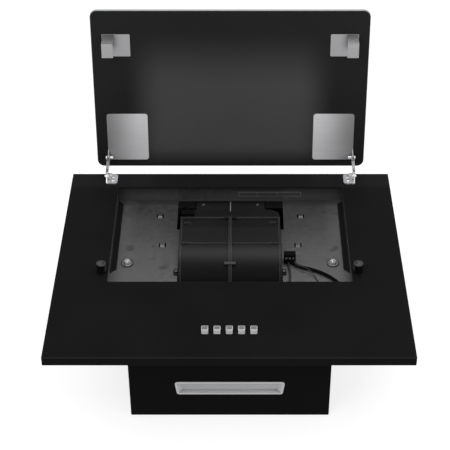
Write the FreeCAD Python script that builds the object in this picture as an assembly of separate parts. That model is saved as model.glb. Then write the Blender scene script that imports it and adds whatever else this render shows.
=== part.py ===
import FreeCAD, Part
import os
from math import asin, atan2, copysign, cos, degrees, hypot, pi, radians, sin, sqrt, tan

V = FreeCAD.Vector

# The hood lies on its back: X runs across it, Y from its lower edge in use to its upper edge, and Z out of
# the wall, through the housing, to the front plate. The origin is the centre of the four wall holes, on the
# housing's back face. All lengths are millimetres.

# Driving sizes
plate_width = 600.0
plate_length = 508.0
plate_fold = 16.4
plate_sheet = 1.2
hood_depth = 222.0
housing_width = 346.0
housing_near_margin = 90.0
housing_far_margin = 12.0
housing_sheet = 1.0
opening_width = 420.0
opening_length = 275.0
opening_near_margin = 188.4
tray_depth = 38.0
tray_sheet = 0.8
panel_width = 512.0
panel_height = 313.3
panel_glass = 7.0
panel_closed_gap = 47.0
panel_turn_degrees = 99.0
scroll_radius = 70.0
scroll_quarter_rise = 5.0
scroll_wall = 2.0
blower_width = 181.0
wheel_radius = 62.0
collar_radius = 62.0
button_pitch = 20.0
button_width = 11.2
button_travel = 4.0
button_count = 5

# Shared clearances and cuts
face_gap = 0.3
pin_gap = 0.05
overrun = 2.0

# The plate's width and length and the tray floor's height for which the rows and routes below are given
drawn_plate = (600.0, 508.0)
drawn_tray_height = 184.0

# Places that follow from the driving sizes
housing_length = plate_length - housing_near_margin - housing_far_margin
near_edge = -(housing_near_margin + housing_length / 2)
far_edge = near_edge + plate_length
plate_half = plate_width / 2
plate_under = hood_depth - plate_sheet
housing_half = housing_width / 2
housing_near = near_edge + housing_near_margin
housing_far = far_edge - housing_far_margin
opening_half = opening_width / 2
opening_near = near_edge + opening_near_margin * plate_length / drawn_plate[1]
opening_far = opening_near + opening_length * plate_length / drawn_plate[1]
tray_floor = hood_depth - tray_depth
tray_under = tray_floor - tray_sheet


def at_row(distance):
    """The place along Y of a row, measured from the near edge, which keeps its share of the plate's length"""
    return near_edge + distance * plate_length / drawn_plate[1]


def save(node, *solids):
    """Writes one node: a single solid, or a group of separate solids"""
    shape = solids[0] if len(solids) == 1 else Part.makeCompound(list(solids))
    shape.exportStep("parts/" + node + ".step")


def block(x0, x1, y0, y1, z0, z1):
    """A box between two corners"""
    return Part.makeBox(x1 - x0, y1 - y0, z1 - z0, V(x0, y0, z0))


def profile_x(points, x0, x1):
    """A (y, z) outline pushed along X"""
    wire = Part.makePolygon([V(x0, y, z) for y, z in points + points[:1]])
    return Part.Face(wire).extrude(V(x1 - x0, 0, 0))


def profile_y(points, y0, y1):
    """An (x, z) outline pushed along Y"""
    wire = Part.makePolygon([V(x, y0, z) for x, z in points + points[:1]])
    return Part.Face(wire).extrude(V(0, y1 - y0, 0))


def profile_z(points, z0, z1):
    """An (x, y) outline pushed along Z"""
    wire = Part.makePolygon([V(x, y, z0) for x, y in points + points[:1]])
    return Part.Face(wire).extrude(V(0, 0, z1 - z0))


def rod_x(x0, x1, y, z, radius):
    return Part.makeCylinder(radius, x1 - x0, V(x0, y, z), V(1, 0, 0))


def rod_y(y0, y1, x, z, radius):
    return Part.makeCylinder(radius, y1 - y0, V(x, y0, z), V(0, 1, 0))


def rod_z(z0, z1, x, y, radius):
    return Part.makeCylinder(radius, z1 - z0, V(x, y, z0), V(0, 0, 1))


def edges_along(shape, axis, test=None):
    """The straight edges parallel to an axis, which a test of their middle can narrow down"""
    found = []
    for edge in shape.Edges:
        if edge.Curve.TypeId != "Part::GeomLine":
            continue
        start, end = edge.Vertexes[0].Point, edge.Vertexes[-1].Point
        way = (end - start).normalize()
        if abs(abs(way.dot(axis)) - 1) > 0.001:
            continue
        if test is None or test((start + end) / 2):
            found.append(edge)
    return found


def rounded(shape, axis, radius, test=None):
    """The shape with its edges along an axis rounded"""
    return shape.makeFillet(radius, edges_along(shape, axis, test))


def mirrored(shape):
    """The same piece for the other side of the hood"""
    return shape.mirror(V(0, 0, 0), V(1, 0, 0))


# Front plate: a folded pan with a lipped opening, button holes and screw holes
plate_corner = 2.0
plate_return = 12.0
opening_corner = 3.0
opening_lip = 3.0
button_row = 62.0
button_hole_gap = 0.35
button_corner = 2.0
post_x = 221.0
post_row = 216.0
post_screw_hole = 2.2
foot_screw_x = 222.0
lower_pivot_row = 487.5
foot_screw_offsets = (-3.5, 6.5)
foot_screw_hole = 2.1

button_y = at_row(button_row)
post_y = at_row(post_row)
button_places = [(i - (button_count - 1) / 2) * button_pitch for i in range(button_count)]


def button_block(x, grow, low, high):
    """A button's rounded square, grown all round by a gap"""
    reach = button_width / 2 + grow
    cap = block(x - reach, x + reach, button_y - reach, button_y + reach, low, high)
    return rounded(cap, V(0, 0, 1), button_corner + grow)


def front_plate():
    low = hood_depth - plate_fold
    body = block(-plate_half, plate_half, near_edge, far_edge, low, hood_depth)
    body = rounded(body, V(0, 0, 1), plate_corner)
    top_edges = [e for e in body.Edges if abs(e.BoundBox.ZMin - hood_depth) < face_gap]
    body = body.makeFillet(plate_corner, top_edges)
    inset = plate_sheet
    hollow = block(-plate_half + inset, plate_half - inset, near_edge + inset, far_edge - inset,
                   low + inset, plate_under)
    mouth_x = plate_half - plate_return
    mouth = block(-mouth_x, mouth_x, near_edge + plate_return, far_edge - plate_return,
                  low - overrun, low + inset)
    body = body.cut(hollow).cut(mouth)
    lip_out = block(-opening_half - inset, opening_half + inset, opening_near - inset, opening_far + inset,
                    hood_depth - opening_lip, hood_depth - plate_sheet / 2)
    lip_out = rounded(lip_out, V(0, 0, 1), opening_corner + inset)
    gap = block(-opening_half, opening_half, opening_near, opening_far,
                hood_depth - opening_lip - overrun, hood_depth + overrun)
    gap = rounded(gap, V(0, 0, 1), opening_corner)
    body = body.fuse(lip_out).cut(gap)
    holes = []
    for x in button_places:
        holes.append(button_block(x, button_hole_gap, low, hood_depth + overrun))
    for side in (-1, 1):
        holes.append(rod_z(plate_under - overrun, hood_depth + overrun, side * post_x, post_y, post_screw_hole))
        for offset in foot_screw_offsets:
            holes.append(rod_z(plate_under - overrun, hood_depth + overrun, side * foot_screw_x,
                               at_row(lower_pivot_row) + offset, foot_screw_hole))
    save("front_plate", body.cut(Part.makeCompound(holes)).removeSplitter())


# Tray: galvanised pan under the opening, its far half folded up slightly at a bend
tray_side_margin = 3.0
tray_near_margin = 2.0
tray_far_margin = 6.6
tray_bend_row = 303.0
tray_rise = 4.0
tray_flange = 10.0
cutout_half = 93.0
cutout_far_half = 98.5
cutout_near_row = 216.0
cutout_widen_row = 380.0
cutout_far_gap = 4.0
stud_x = 183.5
stud_row = 284.0
stud_radius = 2.5
stud_hole_gap = 0.1
lance_places = ((131.0, 419.5), (123.0, 335.2))
lance_window = (13.0, 12.0)
lance_width = 8.0
lance_rise = 3.0
dimple_places = ((-183.5, 324.6), (183.5, 324.6), (-119.7, 274.6))
dimple_radius = 9.0
dimple_depth = 0.5
lead_hole_x = 150.0
lead_hole_drop = 20.0
lead_hole_radius = 5.0
lamp_hole = (101.0, 164.5)
lamp_hole_radius = 8.0
lug_screw_hole = 2.0
intake_x = (-150.0, 70.0)
intake_rows = (104.0, 176.0)
intake_lip = 6.0

tray_half = opening_half + tray_side_margin
tray_near = housing_near - tray_near_margin
tray_far = opening_far + tray_far_margin
tray_bend = at_row(tray_bend_row)
lug_far_limit = at_row(cutout_widen_row)


def tray_height(y):
    """Height of the tray floor's upper face"""
    if y <= tray_bend:
        return tray_floor
    return tray_floor + tray_rise * (y - tray_bend) / (tray_far - tray_bend)


def floor_strip(x0, x1, y0, y1, below, thickness):
    """A strip of sheet that follows the tray floor, so far below its upper face"""
    rows = [y0, tray_bend, y1] if y0 < tray_bend < y1 else [y0, y1]
    top = [(y, tray_height(y) - below) for y in rows]
    bottom = [(y, z - thickness) for y, z in reversed(top)]
    return profile_x(top + bottom, x0, x1)


def bridge(x, y):
    """A strap lanced out of the floor and raised over its window, for a cable tie"""
    near, far = y - lance_window[1] / 2, y + lance_window[1] / 2
    low_near, low_far = tray_height(near), tray_height(far)
    crest = tray_height(y) + lance_rise
    top = [(near, low_near), (near + lance_rise, crest), (far - lance_rise, crest), (far, low_far)]
    bottom = [(place, height - tray_sheet) for place, height in reversed(top)]
    return profile_x(top + bottom, x - lance_width / 2, x + lance_width / 2)


def dimple(x, y):
    """A shallow round dent in the floor's upper face"""
    ball = (dimple_radius ** 2 + dimple_depth ** 2) / (2 * dimple_depth)
    top = tray_height(y)
    sphere = Part.makeSphere(ball, V(x, y, top + ball - dimple_depth))
    return sphere.common(rod_z(top - tray_sheet, top + tray_sheet, x, y, dimple_radius))


def tray():
    floor = floor_strip(-tray_half, tray_half, tray_near, tray_far, 0, tray_sheet)
    shell = floor
    for side in (-1, 1):
        outer = side * tray_half
        inner = outer - side * tray_sheet
        flange = outer + side * tray_flange
        low, high = min(outer, inner), max(outer, inner)
        wall = profile_x([(tray_near, tray_under), (tray_bend, tray_under), (tray_far, tray_under + tray_rise),
                          (tray_far, plate_under), (tray_near, plate_under)], low, high)
        low, high = min(inner, flange), max(inner, flange)
        shell = shell.fuse([wall, block(low, high, tray_near, tray_far, plate_under - tray_sheet, plate_under)])
    near_wall = block(-tray_half, tray_half, tray_near, tray_near + tray_sheet, tray_under, plate_under)
    far_wall = block(-tray_half, tray_half, tray_far - tray_sheet, tray_far, tray_under + tray_rise,
                     plate_under)
    far_flange = block(-tray_half, tray_half, tray_far - tray_sheet, tray_far + tray_flange,
                       plate_under - tray_sheet, plate_under)
    shell = shell.fuse([near_wall, far_wall, far_flange])
    intake = [intake_x[0], intake_x[1], at_row(intake_rows[0]), at_row(intake_rows[1])]
    grown = [edge + way * tray_sheet for edge, way in zip(intake, (-1, 1, -1, 1))]
    lip_low = tray_floor - intake_lip
    shell = shell.fuse(block(*grown, lip_low, tray_floor)).cut(block(*intake, lip_low - overrun, hood_depth))
    low, high = tray_under - overrun, tray_floor + tray_rise + overrun
    cut_far = tray_far - cutout_far_gap
    blower_hole = block(-cutout_half, cutout_half, at_row(cutout_near_row), cut_far, low, high)
    wide_hole = block(-cutout_far_half, cutout_far_half, lug_far_limit, cut_far, low, high)
    holes = [blower_hole.fuse(wide_hole)]
    tabs = []
    for side in (-1, 1):
        holes.append(rod_z(low, high, side * stud_x, at_row(stud_row), stud_radius + stud_hole_gap))
        holes.append(rod_z(plate_under - overrun, plate_under + overrun, side * post_x, post_y,
                           post_screw_hole + pin_gap))
        for x, row in lance_places:
            y = at_row(row)
            half_x, half_y = lance_window[0] / 2, lance_window[1] / 2
            holes.append(block(side * x - half_x, side * x + half_x, y - half_y, y + half_y, low, high))
            tabs.append(bridge(side * x, y))
    hole_z = plate_under - lead_hole_drop
    holes.append(rod_y(tray_near - overrun, tray_near + overrun, lead_hole_x, hole_z, lead_hole_radius))
    holes.append(rod_z(low, high, lamp_hole[0], at_row(lamp_hole[1]), lamp_hole_radius))
    for side in (-1, 1):
        holes.append(rod_z(low, high, side * lug_x, lug_y, lug_screw_hole))
    for x, row in dimple_places:
        holes.append(dimple(x, at_row(row)))
    shell = shell.cut(Part.makeCompound(holes)).fuse(tabs)
    save("tray", shell.removeSplitter())


# Side rails: black angle strips on the tray floor along the sides of the opening, their ends mitred
rail_reach = 8.5
rail_near_row = 256.5
rail_far_row = 466.0
rail_sheet = 1.2
rail_upstand = 9.0
rail_mitre = 10.5


def side_rail():
    outer = tray_half - tray_sheet
    inner = opening_half - rail_reach
    near, far = at_row(rail_near_row), at_row(rail_far_row)
    plan = [(outer, near), (inner + rail_mitre, near), (inner, near + rail_mitre), (inner, far - rail_mitre),
            (inner + rail_mitre, far), (outer, far)]
    rows = [near, tray_bend, far]
    leg = [(y, tray_height(y)) for y in rows] + [(y, tray_height(y) + rail_sheet) for y in reversed(rows)]
    upstand = [(y, tray_height(y)) for y in rows]
    upstand += [(y, tray_height(y) + rail_upstand) for y in reversed(rows)]
    strip = profile_x(leg, inner, outer).common(profile_z(plan, tray_under, hood_depth))
    rail = strip.fuse(profile_x(upstand, outer - rail_sheet, outer)).removeSplitter()
    save("side_rail_right", rail)
    save("side_rail_left", mirrored(rail))


# Housing shell: back wall and two sides folded from one sheet, with flanges that the tray's studs hold
housing_flange = 23.0
wall_hole_x = 240.0
wall_hole_y = 300.0
wall_hole_radius = 3.5
shell_bend = 2.0


def housing_shell():
    under = tray_sheet
    side_top = [(housing_near, 0), (housing_far, 0), (housing_far, tray_height(tray_far) - under),
                (tray_far, tray_height(tray_far) - under), (tray_bend, tray_under), (housing_near, tray_under)]
    outer = profile_x(side_top, -housing_half, housing_half)
    outer = rounded(outer, V(0, 1, 0), shell_bend, lambda p: p.z < housing_sheet)
    inset = housing_sheet
    inner = block(-housing_half + inset, housing_half - inset, housing_near - overrun, housing_far + overrun,
                  inset, hood_depth)
    shell = outer.cut(inner)
    for side in (-1, 1):
        edge = side * (housing_half - inset)
        tip = side * (housing_half + housing_flange)
        shell = shell.fuse(floor_strip(min(edge, tip), max(edge, tip), housing_near, tray_far, under, inset))
    holes = []
    for side in (-1, 1):
        holes.append(rod_z(tray_under - inset - overrun, tray_floor, side * stud_x, at_row(stud_row),
                           stud_radius + stud_hole_gap))
        for end in (-1, 1):
            holes.append(rod_z(-overrun, inset + overrun, side * wall_hole_x / 2, end * wall_hole_y / 2,
                               wall_hole_radius))
    save("housing_shell", shell.cut(Part.makeCompound(holes)).removeSplitter())


# Lamp plate: lower end wall of the housing, folded round its edges, with the lamp's window
end_fold = 12.0
lamp_centre_z = 66.5
lamp_width = 190.0
lamp_low_width = 182.0
lamp_height = 29.0
lamp_rim = 2.5
lamp_corner = 5.0
lamp_proud = 1.6
lamp_window_gap = 0.3


def lamp_outline(inset):
    """The lamp's shape on the end wall, wider at the top, pulled in by an inset"""
    top, low = lamp_width / 2 - inset, lamp_low_width / 2 - inset
    high_z = lamp_centre_z + lamp_height / 2 - inset
    low_z = lamp_centre_z - lamp_height / 2 + inset
    return [(-low, low_z), (low, low_z), (top, high_z), (-top, high_z)]


def lamp_block(inset, y0, y1):
    solid = profile_y(lamp_outline(inset), y0, y1)
    return rounded(solid, V(0, 1, 0), max(lamp_corner - inset, lamp_rim / 2))


def end_wall(face, way, top):
    """An end wall whose outer face is at face, with folds that run inward, way being 1 or -1 along Y"""
    half = housing_half - housing_sheet
    low, high = sorted((face, face + way * end_fold))
    pan = block(-half, half, low, high, housing_sheet, top)
    low, high = sorted((face + way * housing_sheet, face + way * (end_fold + overrun)))
    inner = half - housing_sheet
    hollow = block(-inner, inner, low, high, 2 * housing_sheet, top - housing_sheet)
    return pan.cut(hollow)


def lamp_plate():
    wall = end_wall(housing_near, 1, tray_under)
    window = lamp_block(lamp_rim - lamp_window_gap, housing_near - overrun, housing_near + overrun)
    save("lamp_plate", wall.cut(window))


# Strip lamp: metal frame, frosted diffuser, board with light-emitting diodes, and its driver
diffuser_sheet = 2.0
frame_depth = 9.0
lamp_flare_x = 7.0
lamp_flare_z = 1.5
lamp_ledge = 0.5
board_sheet = 1.6
board_height = 12.0
led_size = 3.0
led_rise = 1.0
led_count = 9
driver_size = (78.0, 40.0, 24.0)
driver_x = 55.0


def lamp():
    face = housing_near - lamp_proud
    back = housing_near + frame_depth
    seat = back - led_rise - face_gap - diffuser_sheet
    bezel = lamp_block(0, face, housing_near)
    sleeve = lamp_block(lamp_rim, housing_near, back)
    mouth = lamp_outline(lamp_rim + housing_sheet)
    rest = [(x - copysign(lamp_flare_x, x), z - copysign(lamp_flare_z, z - lamp_centre_z)) for x, z in mouth]
    rings = []
    for outline, y in ((mouth, face), (rest, seat)):
        rings.append(Part.makePolygon([V(x, y, z) for x, z in outline + outline[:1]]))
    well = Part.makeLoft(rings, True, True).fuse(lamp_block(lamp_rim + housing_sheet, face - overrun, face))
    pocket = [(x + copysign(lamp_ledge, x), z + copysign(lamp_ledge, z - lamp_centre_z)) for x, z in rest]
    frame = bezel.fuse(sleeve).cut(well).cut(profile_y(pocket, seat, back + overrun))
    save("lamp_frame", frame.removeSplitter())
    save("lamp_diffuser", profile_y(pocket, seat, seat + diffuser_sheet))
    half = lamp_low_width / 2
    board = block(-half, half, back, back + board_sheet,
                  lamp_centre_z - board_height, lamp_centre_z + board_height)
    leds = []
    for i in range(led_count):
        x = half * (2 * i + 1 - led_count) / led_count
        leds.append(block(x - led_size / 2, x + led_size / 2, back - led_rise, back,
                          lamp_centre_z - led_size / 2, lamp_centre_z + led_size / 2))
    save("led_board", board.fuse(leds))
    long, wide, tall = driver_size
    start = housing_near + end_fold + face_gap
    case = block(driver_x - long / 2, driver_x + long / 2, start, start + wide,
                 housing_sheet, housing_sheet + tall)
    save("led_driver", rounded(case, V(0, 0, 1), shell_bend))


# Outlet plate: upper end wall of the housing, with the round outlet and the cable hole
outlet_centre_z = 112.0
outlet_radius = 60.5
gland_x = 135.0
gland_z = 28.0
gland_radius = 8.0
lid_edge = tray_far - cutout_far_gap
lid_top = tray_height(lid_edge) - tray_sheet


def outlet_plate():
    wall = end_wall(housing_far, -1, lid_top)
    start, end = housing_far - end_fold, housing_far + overrun
    round_hole = rod_y(start, end, 0, outlet_centre_z, outlet_radius)
    cable_hole = rod_y(start, end, gland_x, gland_z, gland_radius)
    screws = [rod_y(start, end, x, z, collar_screw_radius + pin_gap) for x, z in collar_screw_places()]
    save("outlet_plate", wall.cut(Part.makeCompound([round_hole, cable_hole] + screws)))


# Closing strip: welded to the fold of the outlet plate, with a wing on each side of the duct neck
wing_gap = 2.0


def closing_strip():
    half = housing_half - housing_sheet
    pieces = [block(-half, half, lid_edge, housing_far - end_fold, lid_top - housing_sheet, lid_top)]
    for side in (-1, 1):
        near, far = sorted((side * (neck_half + wing_gap), side * (cutout_far_half + wing_gap)))
        pieces.append(floor_strip(near, far, neck_y + wing_gap, lid_edge + housing_sheet,
                                  tray_sheet, housing_sheet))
    save("closing_strip", pieces[0].fuse(pieces[1:]).removeSplitter())


# Duct collar: moulded spigot with a flange, an inner ledge for the flaps and bores for their rod
collar_wall = 2.0
collar_length = 42.0
collar_flange = 12.0
collar_flange_sheet = 2.5
ledge_width = 5.0
ledge_sheet = 1.5
ledge_row = 9.0
bead_row = 34.0
bead_rise = 1.0
flap_rod_radius = 1.5
collar_screw_radius = 1.5
collar_screw_margin = 4.0
collar_screw_head = 2.8
collar_screw_sink = 1.3
collar_screw_length = 6.0

flap_y = housing_far + ledge_row + ledge_sheet + face_gap + flap_rod_radius


def collar_screw_places():
    reach = collar_radius + collar_flange - collar_screw_margin
    return [(reach * cos(radians(45 + 90 * i)), outlet_centre_z + reach * sin(radians(45 + 90 * i)))
            for i in range(4)]


def sunk_screw(x, z, seat, gap):
    """A countersunk screw along Y, its head flush with the seat, or the hole for it when a gap is given"""
    head = Part.makeCone(collar_screw_radius + gap, collar_screw_head + gap, collar_screw_sink,
                         V(x, seat - collar_screw_sink, z), V(0, 1, 0))
    shank = rod_y(seat - collar_screw_length, seat - collar_screw_sink, x, z, collar_screw_radius + gap)
    return head.fuse(shank)


def duct_collar():
    bore = collar_radius - collar_wall
    end = housing_far + collar_length
    tube = rod_y(housing_far, end, 0, outlet_centre_z, collar_radius)
    flange = rod_y(housing_far, housing_far + collar_flange_sheet, 0, outlet_centre_z,
                   collar_radius + collar_flange)
    body = tube.fuse(flange).cut(rod_y(housing_far - overrun, end + overrun, 0, outlet_centre_z, bore))
    ledge = rod_y(housing_far + ledge_row, housing_far + ledge_row + ledge_sheet, 0, outlet_centre_z,
                  bore + collar_wall / 2)
    ledge = ledge.cut(rod_y(housing_far, end, 0, outlet_centre_z, bore - ledge_width))
    body = body.fuse(ledge)
    reach = collar_radius + overrun
    rod_hole = rod_z(outlet_centre_z - reach, outlet_centre_z + reach, 0, flap_y, flap_rod_radius)
    seat = housing_far + collar_flange_sheet
    holes = [sunk_screw(x, z, seat, pin_gap) for x, z in collar_screw_places()]
    save("duct_collar", body.cut(Part.makeCompound([rod_hole] + holes)).removeSplitter())
    save("collar_screws", *[sunk_screw(x, z, seat, 0) for x, z in collar_screw_places()])


# Backdraft flaps: two half discs that share one rod, their knuckles interleaved
flap_gap = 2.0
flap_sheet = 1.4
knuckle_radius = 3.2
knuckle_count = 6


def flaps():
    bore = collar_radius - collar_wall
    rod = rod_z(outlet_centre_z - collar_radius, outlet_centre_z + collar_radius, 0, flap_y, flap_rod_radius)
    save("flap_rod", rod)
    reach = bore - flap_gap
    low, step = outlet_centre_z - reach, 2 * reach / knuckle_count
    edge = knuckle_radius + face_gap
    disc = rod_y(flap_y - flap_rod_radius, flap_y - flap_rod_radius + flap_sheet, 0, outlet_centre_z, reach)
    for side, name in ((-1, "flap_left"), (1, "flap_right")):
        near, far = sorted((side * edge, side * (reach + overrun)))
        half = disc.common(block(near, far, flap_y - overrun, flap_y + overrun, low - overrun,
                                 low + 2 * reach + overrun))
        first = 0 if side < 0 else 1
        body = half
        for i in range(first, knuckle_count, 2):
            z0, z1 = low + i * step + face_gap, low + (i + 1) * step - face_gap
            if i == 0 or i == knuckle_count - 1:
                z0, z1 = max(z0, low + step / 2), min(z1, low + 2 * reach - step / 2)
            knuckle = rod_z(z0, z1, 0, flap_y, knuckle_radius)
            near, far = sorted((0, side * (edge + overrun)))
            arm = block(near, far, flap_y - flap_rod_radius, flap_y - flap_rod_radius + flap_sheet, z0, z1)
            body = body.fuse([knuckle, arm])
        bore_hole = rod_z(low - overrun, low + 2 * reach + overrun, 0, flap_y, flap_rod_radius + pin_gap)
        save(name, body.cut(bore_hole).removeSplitter())


# Blower scroll: a spiral of three quarter arcs round the wheel, running out into a straight outlet
blower_top_drop = 12.0
scroll_row = 300.0
slope_row = 356.0
outlet_row = 390.0
slope_fall = 6.0
tongue_angle = 12.0
outlet_low_rise = 10.0
end_wall_hole = 50.0
inlet_lip_radius = 57.0
inlet_lip = 2.0
joint_rib_width = 3.0
joint_rib_height = 4.0
end_rim_width = 3.0
end_rim_height = 1.5
outlet_flange_width = 3.0
outlet_flange_height = 3.0
outlet_flange_side = 0.8
cross_rib_row = 308.0
cross_rib_width = 3.0
cross_rib_height = 1.6
pad_rows = (308.0, 370.0)
pad_length = 11.0
pad_width = 4.0
pad_height = 2.6
lug_row = 258.0
lug_length = 9.5
lug_width = 14.0
lug_height = 3.0
lug_hole_reach = 4.8
lug_screw_head = 3.2

blower_half = blower_width / 2
scroll_y = at_row(scroll_row)
scroll_top = hood_depth - blower_top_drop
scroll_z = scroll_top - scroll_wall - scroll_radius - 3 * scroll_quarter_rise
slope_y = at_row(slope_row)
outlet_y = at_row(outlet_row)
outlet_low = scroll_z + outlet_low_rise
lug_y = at_row(lug_row)
lug_x = blower_half + lug_hole_reach
lug_top = tray_floor + lug_height


def polar(centre, radius, angle):
    """A point in the YZ plane, its angle in degrees from +Y towards +Z"""
    return V(0, centre[0] + radius * cos(radians(angle)), centre[1] + radius * sin(radians(angle)))


def scroll_face(offset):
    """The scroll's side outline, grown outward by an offset from the air side, at X = 0"""
    radius = scroll_radius + offset
    centre = (scroll_y, scroll_z)
    second = (scroll_y, scroll_z + scroll_quarter_rise)
    third = (scroll_y + scroll_quarter_rise, scroll_z + scroll_quarter_rise)
    tip = polar(centre, scroll_radius, tongue_angle)
    low = V(0, outlet_y, outlet_low)
    way = (low - tip).normalize()
    end = low - V(0, 0, offset)
    back = V(0, centre[0] - end.y, centre[1] - end.z).dot(way)
    aside = V(0, centre[0], centre[1]) - end - way * back
    start = end + way * (back + sqrt(radius ** 2 - aside.Length ** 2))
    angle = degrees(atan2(start.z - centre[1], start.y - centre[0]))
    top = scroll_z + scroll_radius + 3 * scroll_quarter_rise + offset
    bottom, left = polar(centre, radius, -90), polar(second, radius + scroll_quarter_rise, 180)
    crown = polar(third, radius + 2 * scroll_quarter_rise, 90)
    corner = V(0, slope_y, top)
    high = V(0, outlet_y, top - slope_fall)
    edges = [Part.Arc(start, polar(centre, radius, (angle - 90) / 2), bottom).toShape(),
             Part.Arc(bottom, polar(second, radius + scroll_quarter_rise, -135), left).toShape(),
             Part.Arc(left, polar(third, radius + 2 * scroll_quarter_rise, 135), crown).toShape(),
             Part.LineSegment(crown, corner).toShape(), Part.LineSegment(corner, high).toShape(),
             Part.LineSegment(high, end).toShape(), Part.LineSegment(end, start).toShape()]
    return Part.Face(Part.Wire(edges))


def scroll_block(offset, x0, x1):
    face = scroll_face(offset)
    face.translate(V(x0, 0, 0))
    return face.extrude(V(x1 - x0, 0, 0))


def volute():
    """The right half of the scroll, open where it meets the left half"""
    air_top = scroll_top - scroll_wall
    shell = scroll_block(scroll_wall, 0, blower_half)
    rib = scroll_block(scroll_wall + joint_rib_height, 0, joint_rib_width)
    rim = scroll_block(scroll_wall + end_rim_height, blower_half - end_rim_width, blower_half)
    flange = block(0, blower_half + outlet_flange_side, outlet_y - outlet_flange_width, outlet_y,
                   outlet_low - scroll_wall - outlet_flange_height,
                   air_top - slope_fall + scroll_wall + outlet_flange_height)
    trim = block(-overrun, blower_width, outlet_y, far_edge, 0, hood_depth)
    extras = [rib, rim, flange]
    rib_y = at_row(cross_rib_row)
    extras.append(block(0, blower_half, rib_y - cross_rib_width / 2, rib_y + cross_rib_width / 2,
                        air_top, scroll_top + cross_rib_height))
    pad_end = blower_half - end_rim_width - pad_width
    for row in pad_rows:
        y = at_row(row)
        fall = max(0, (y - slope_y) / (outlet_y - slope_y)) * slope_fall
        extras.append(block(pad_end - pad_length, pad_end, y - pad_width / 2, y + pad_width / 2,
                            air_top - fall, scroll_top - fall + pad_height))
    lug = block(blower_half - scroll_wall, blower_half + lug_length,
                lug_y - lug_width / 2, lug_y + lug_width / 2,
                tray_floor, lug_top)
    extras.append(rounded(lug, V(0, 0, 1), lug_height, lambda p: p.x > blower_half))
    lip = rod_x(blower_half, blower_half + inlet_lip, scroll_y, scroll_z, inlet_lip_radius)
    body = shell.fuse(extras + [lip]).cut(trim)
    air = scroll_block(0, -overrun, blower_half - scroll_wall)
    wide = block(-overrun, blower_half - scroll_wall, outlet_y - overrun, outlet_y + overrun,
                 outlet_low, air_top - slope_fall)
    inlet = rod_x(blower_half - scroll_wall - overrun, blower_half + inlet_lip + overrun, scroll_y, scroll_z,
                  end_wall_hole)
    screw = rod_z(tray_under, hood_depth, lug_x, lug_y, lug_screw_hole)
    body = body.cut(air).cut(wide).cut(inlet).cut(screw)
    return body.removeSplitter()


def blower_shell():
    right = volute()
    save("volute_right", right)
    save("volute_left", mirrored(right))


# Outlet duct: a moulded box whose sides curve in from the scroll's outlet to a neck behind the collar
duct_wall = 2.0
duct_flange_sheet = 3.0
duct_end_flange = 7.0
neck_half = 64.0
neck_low = 50.0
neck_lid_gap = 2.0
neck_row = 443.0
seam_half = 0.7
seam_height = 1.2
duct_screw_x = 51.0
duct_screw_row = 457.0
duct_screw_radius = 1.5
duct_screw_head = 3.0
duct_screw_head_height = 2.0
duct_screw_length = 7.0

neck_y = at_row(neck_row)
neck_top = lid_top - neck_lid_gap


def duct_core(inset, start, end):
    """The duct's outside pulled in by an inset: its plan, with rounded shoulders, cut by its side outline"""
    half, neck = blower_half - inset, neck_half - inset
    bend = blower_half - neck_half - inset
    shoulder = neck_y - (blower_half - neck_half)
    edges = []
    for side in (1, -1):
        bend_start = V(side * half, shoulder, 0)
        bend_end = V(side * neck_half, shoulder + bend, 0)
        middle = V(side * (neck_half + bend * sqrt(0.5)), shoulder + bend * sqrt(0.5), 0)
        edges.append(Part.LineSegment(V(side * half, start, 0), bend_start).toShape())
        edges.append(Part.Arc(bend_start, middle, bend_end).toShape())
        inner = V(side * neck, shoulder + bend, 0)
        if inset > 0:
            edges.append(Part.LineSegment(bend_end, inner).toShape())
        edges.append(Part.LineSegment(inner, V(side * neck, end, 0)).toShape())
    edges.append(Part.LineSegment(V(half, start, 0), V(-half, start, 0)).toShape())
    edges.append(Part.LineSegment(V(neck, end, 0), V(-neck, end, 0)).toShape())
    plan = Part.Face(Part.Wire(Part.__sortEdges__(edges))).extrude(V(0, 0, hood_depth))
    high = scroll_top - slope_fall - inset
    fall = (outlet_low - neck_low) / (neck_y - outlet_y)
    low = outlet_low - (duct_wall - inset) * sqrt(1 + fall ** 2)
    side_outline = [(start, low), (outlet_y, low), (neck_y, neck_low + inset), (end, neck_low + inset),
                    (end, neck_top - inset), (neck_y, neck_top - inset), (outlet_y, high), (start, high)]
    if start == outlet_y:
        side_outline = side_outline[1:-1]
    return plan.common(profile_x(side_outline, -blower_width, blower_width))


def outlet_duct():
    start, end = outlet_y, housing_far - housing_sheet
    body = duct_core(0, start, end)
    half = blower_half + outlet_flange_side
    low = outlet_low - scroll_wall - outlet_flange_height
    high = scroll_top - slope_fall + outlet_flange_height
    near_flange = block(-half, half, start, start + duct_flange_sheet, low, high)
    wide = neck_half + duct_end_flange
    far_flange = block(-wide, wide, end - duct_flange_sheet, end, neck_low - duct_end_flange, neck_top)
    seam = block(-seam_half, seam_half, neck_y, lid_edge - face_gap,
                 neck_top - duct_wall, neck_top + seam_height)
    body = body.fuse([near_flange, far_flange, seam]).cut(duct_core(duct_wall, start - overrun, end + overrun))
    screws = []
    for side in (-1, 1):
        x, y = side * duct_screw_x, at_row(duct_screw_row)
        body = body.cut(rod_z(neck_top - 2 * duct_wall, neck_top + overrun, x, y, duct_screw_radius + pin_gap))
        screws.append(pan_screw(x, y, neck_top, duct_screw_length, duct_screw_radius, duct_screw_head,
                                duct_screw_head_height))
    save("outlet_duct", body.removeSplitter())
    save("duct_screws", *screws)


# Clips and screws of the blower
clip_length = 20.0
clip_width = 5.0
clip_sheet = 1.5
clip_angle = 120.0
pan_head_radius = 4.0
pan_head_height = 2.4
lug_screw_length = 9.0


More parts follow.
